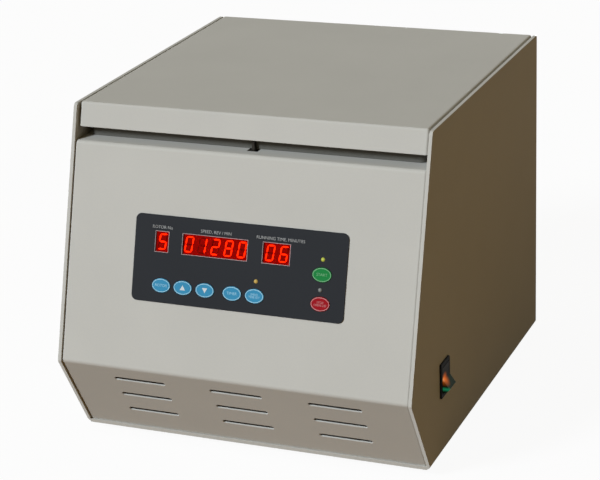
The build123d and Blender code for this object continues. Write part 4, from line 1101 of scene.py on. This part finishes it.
@dataclass
class Screws(Assembly):
    """Cross-recessed pan-head screws in the feet and round the back panel."""

    head_r: float = 3.8 * MM
    head_high: float = 2.4 * MM
    dome: float = 1.32 * MM
    corners: int = 40
    steps: int = 5
    recess: float = 1.3 * MM
    cross: float = 2.3 * MM
    slot: float = 0.75 * MM
    feet: tuple = tuple((x, y) for x in (-140.0, 140.0) for y in (-108.0, 170.0))
    foot_seat: float = 5.0 * MM
    back_y: float = 202.5 * MM
    back_x: float = 164.8 * MM
    floor_top: float = 13.2 * MM
    deck_low: float = 289.3 * MM
    shares: tuple = (0.08, 0.5, 0.92)

    def head(self) -> Piece:
        """Makes one head that stands on z = 0: a domed drum with a cross cut into it."""
        obj = new_drum(self.head_r, self.head_high, self.corners)
        dome(obj, self.head_high, self.dome, self.steps)
        for turn in (0.0, math.pi / 2):
            cut(obj, new_box((2 * self.cross, 2 * self.slot, 2 * self.recess), (0, 0, self.head_high), turn))
        return settle(obj, "screw_head", PART_DEG)

    def build(self) -> None:
        """Puts a head at every screw's place."""
        head = self.head()
        down = Matrix.Rotation(math.pi, 4, "X")
        back = Matrix.Rotation(-math.pi / 2, 4, "X")
        spots = [Matrix.Translation((x * MM, y * MM, self.foot_seat)) @ down for x, y in self.feet]
        for side in (-1, 1):
            for share in self.shares:
                z = self.floor_top + share * (self.deck_low - self.floor_top)
                spots.append(Matrix.Translation((side * self.back_x, self.back_y, z)) @ back)
        made = [twin(head, f"screw_{index}", spot) for index, spot in enumerate(spots)]
        bpy.data.objects.remove(head)
        screws = join(made, "cross_recess_screws")
        dress(screws, self.finishes["zinc"], "case")
        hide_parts("pan_screws")
        LOG.info("screws: %d", len(spots))


# -------- power switch
@dataclass
class PowerSwitch(Assembly):
    """Lit rocker switch in the right wall."""

    frame_edge: float = 0.2 * MM
    button_edge: float = 0.35 * MM

    def build(self) -> None:
        """Rounds the frame and the rocker."""
        bezel = softened("rocker_bezel", self.frame_edge, "switch_frame")
        dress(bezel, self.finishes["abs_black"], "case")
        button = softened("rocker", self.button_edge, "lit_rocker")
        dress(button, self.finishes["rocker"], "rocker")
        LOG.info("power switch")


# -------- inside
@dataclass
class Inside(Assembly):
    """Chamber, drive, lock and hinge fittings, which keep their CAD shapes."""

    plain: tuple = (("chamber_bowl", "spun"), ("shaft_boot", "rubber"), ("motor_plate", "zinc"),
                    ("motor_dampers", "rubber"), ("motor_housing", "cast"), ("armature_shaft", "shaft"),
                    ("rotor_body", "lathe"), ("rotor_nut", "shaft"), ("drive_unit", "cast"),
                    ("lock_housing", "abs_black"), ("lock_bolt", "zinc"), ("hinge_arms", "zinc"),
                    ("hinge_pins", "shaft"), ("hinge_lugs", "zinc"), ("lid_hook", "pickled"),
                    ("lid_liner", "abs_liner"), ("lid_seal", "rubber"), ("fan_frame", "abs_black"),
                    ("fan_impeller", "abs_black"), ("fan_guard", "wire"), ("power_inlet", "inlet"))

    def build(self) -> None:
        """Dresses every fitting."""
        for node, finish in self.plain:
            self.paint(node, finish)
        LOG.info("inside: %d fittings", len(self.plain))


@dataclass
class SlideCarriers(Assembly):
    """Six slide clips with glass, funnel and a filter card between them."""

    pieces: tuple = (("slide_clip", "brushed"), ("glass_slide", "slide"), ("sample_funnel", "funnel"))
    stations: int = 6
    axis_y: float = 25.21 * MM
    pivot_r: float = 87.79 * MM
    pivot_z: float = 199.8 * MM
    lean: float = math.radians(15.0)
    card_u: float = 3.62 * MM
    card_thick: float = 0.45 * MM
    card_half: float = 12.6 * MM
    card_low: float = -11.6 * MM
    card_high: float = 45.0 * MM
    hole_r: float = 3.5 * MM
    hole_z: float = 12.0 * MM
    hole_corners: int = 36
    corner: float = 3.0 * MM

    def card(self) -> Piece:
        """Makes one filter card in its station's own frame: a card with a hole and two cut corners."""
        across = self.card_u + self.card_thick / 2
        obj = new_box((self.card_thick, 2 * self.card_half, self.card_high - self.card_low),
                      (across, 0, (self.card_low + self.card_high) / 2))
        edit(obj)
        pick(obj, lambda e: abs(e.verts[0].co.x - e.verts[1].co.x) > self.card_thick / 2
             and e.verts[0].co.z > self.card_high - TINY, "edges")
        bpy.ops.mesh.bevel(offset=self.corner, segments=1)
        object_mode()
        tool = new_drum(self.hole_r, 4 * self.card_thick, self.hole_corners, -2 * self.card_thick)
        lying = Matrix.Translation((across, 0, self.hole_z)) @ Matrix.Rotation(math.pi / 2, 4, "Y")
        cut(obj, place(tool, lying))
        return settle(obj, "filter_card", PART_DEG)

    def station(self, number: int) -> Matrix:
        """Gives the leaning frame of one station.

        Args:
            number: counts the stations from zero.

        Returns:
            The frame as a matrix.
        """
        around = Matrix.Rotation(number * math.tau / self.stations, 4, "Z")
        out = Matrix.Translation((self.pivot_r, 0, self.pivot_z))
        return Matrix.Translation((0, self.axis_y, 0)) @ around @ out @ Matrix.Rotation(-self.lean, 4, "Y")

    def build(self) -> None:
        """Makes the cards and dresses the clips, slides and funnels."""
        card = self.card()
        for number in range(self.stations):
            made = twin(card, f"filter_card_{number + 1}", self.station(number))
            dress(made, self.finishes["card"], f"carrier_{number + 1}")
            for piece, finish in self.pieces:
                self.paint(f"{piece}_{number + 1}", finish)
        bpy.data.objects.remove(card)
        LOG.info("slide carriers: %d", self.stations)


# -------- studio
@dataclass(frozen=True)
class Softbox:
    """A far soft lamp: the way to it, its colour, its power and how wide it looks, in degrees."""

    name: str
    way: Point
    colour: tuple[float, float, float]
    power: float
    spread_deg: float


@dataclass
class Studio:
    """Camera, floor, sky and lamps: a key high on the left in front, and a weak one behind."""

    camera_at: Point = (695.5 * MM, -1695.4 * MM, 841.9 * MM)
    azimuth: float = math.radians(22.56)
    elevation: float = math.radians(20.401)
    roll: float = math.radians(-2.33)
    focal_px: float = 1986.4
    image_px: float = 600.0
    sensor: float = 36.0
    lamps: tuple = (Softbox("key", (-0.448, -0.727, 0.510), (0.857, 0.929, 1.0), 3.12, 14.0),
                    Softbox("back", (-0.250, 0.968, -0.004), (0.900, 0.960, 1.0), 1.0, 1.0))
    sky: tuple[float, float, float] = (0.174, 0.136, 0.068)
    bench: tuple[float, float, float] = (0.30, 0.165, 0.050)
    bench_lift: float = 0.94
    mirrored: float = 0.5
    floor_half: float = 6.0
    paper: tuple[float, float, float] = (0.9, 0.9, 0.9)

    def camera(self) -> None:
        """Sets the camera up."""
        data = bpy.data.cameras.new("camera")
        data.sensor_width = self.sensor
        data.lens = self.focal_px / self.image_px * self.sensor
        camera = link(bpy.data.objects.new("camera", data))
        camera.matrix_world = Matrix.Translation(self.camera_at)
        for angle, axis in ((self.azimuth, "Z"), (math.pi / 2 - self.elevation, "X"), (self.roll, "Z")):
            camera.matrix_world @= Matrix.Rotation(angle, 4, axis)
        bpy.context.scene.camera = camera

    def seen(self, tree: Tree) -> Socket:
        """Tells rays that show the background apart from rays that carry its light.

        Args:
            tree: the node tree.

        Returns:
            A socket that is 1 for camera and see-through rays, less for mirror rays and 0 for the rest.
        """
        path = add_node(tree, "LightPath")
        glossy = maths(tree, "MULTIPLY", path.outputs["Is Glossy Ray"], self.mirrored)
        direct = maths(tree, "MAXIMUM", path.outputs["Is Camera Ray"], glossy)
        return maths(tree, "MAXIMUM", direct, path.outputs["Is Transmission Ray"])

    def world(self) -> None:
        """Makes the sky: white where it is seen, dim and warm where it lights."""
        world = bpy.data.worlds.new("studio")
        tree = empty_tree(world)
        colour = blend_colour(tree, self.seen(tree), (*self.sky, 1.0), WHITE)
        sky = add_node(tree, "Background", inputs={"Color": colour, "Strength": 1.0})
        add_node(tree, "OutputWorld", inputs={"Surface": sky.outputs["Background"]})
        bpy.context.scene.world = world

    def floor(self) -> None:
        """Makes the floor: near white with a faint shadow where it is seen, and dim where it lights."""
        deselect()
        bpy.ops.mesh.primitive_plane_add(size=2 * self.floor_half)
        obj = bpy.context.object
        obj.name = "floor"
        material = bpy.data.materials.new("white_bench")
        tree = empty_tree(material)
        seen = self.seen(tree)
        matt = add_node(tree, "BsdfDiffuse", inputs={
            "Color": blend_colour(tree, seen, (*self.bench, 1.0), (*self.paper, 1.0))})
        white = add_node(tree, "Emission", inputs={"Color": WHITE, "Strength": seen})
        lift = maths(tree, "MULTIPLY", seen, self.bench_lift)
        both = add_node(tree, "MixShader", inputs={
            0: lift, 1: matt.outputs["BSDF"], 2: white.outputs["Emission"]})
        add_node(tree, "OutputMaterial", inputs={"Surface": both.outputs["Shader"]})
        obj.data.materials.append(material)

    def lamp(self, box: Softbox) -> None:
        """Sets one lamp up."""
        data = bpy.data.lights.new(box.name, "SUN")
        data.energy = box.power
        data.color = box.colour
        data.angle = math.radians(box.spread_deg)
        lamp = link(bpy.data.objects.new(box.name, data))
        lamp.rotation_mode = "QUATERNION"
        lamp.rotation_quaternion = Vector(box.way).to_track_quat("Z", "Y")

    def build(self) -> None:
        """Sets the whole studio up."""
        self.camera()
        self.world()
        self.floor()
        for box in self.lamps:
            self.lamp(box)
        bpy.context.scene.view_settings.view_transform = "Standard"
        LOG.info("studio")


def make_finishes() -> dict[str, Material]:
    """Builds every material once, with the turned ones centred on the bowl.

    Returns:
        Finish name to material.
    """
    book = Finishes()
    low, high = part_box("chamber_bowl")
    centre = tuple((low + high) / 2)
    made = {}
    for name in Finishes.__dataclass_fields__:
        finish = getattr(book, name)
        made[name] = (replace(finish, centre=centre) if isinstance(finish, Turned) else finish).make()
    return made


def main() -> None:
    """Builds the machine's looks and the studio, in order."""
    logging.basicConfig(level=logging.INFO, format="%(name)s %(message)s")
    Studio().build()
    finishes = make_finishes()
    front = SlopedFront()
    for part in (Casework(finishes), Display(finishes, front), Keypad(finishes, front), PowerSwitch(finishes),
                 Screws(finishes), Inside(finishes), SlideCarriers(finishes)):
        part.build()
    deselect()


if __name__ == "__main__":
    main()
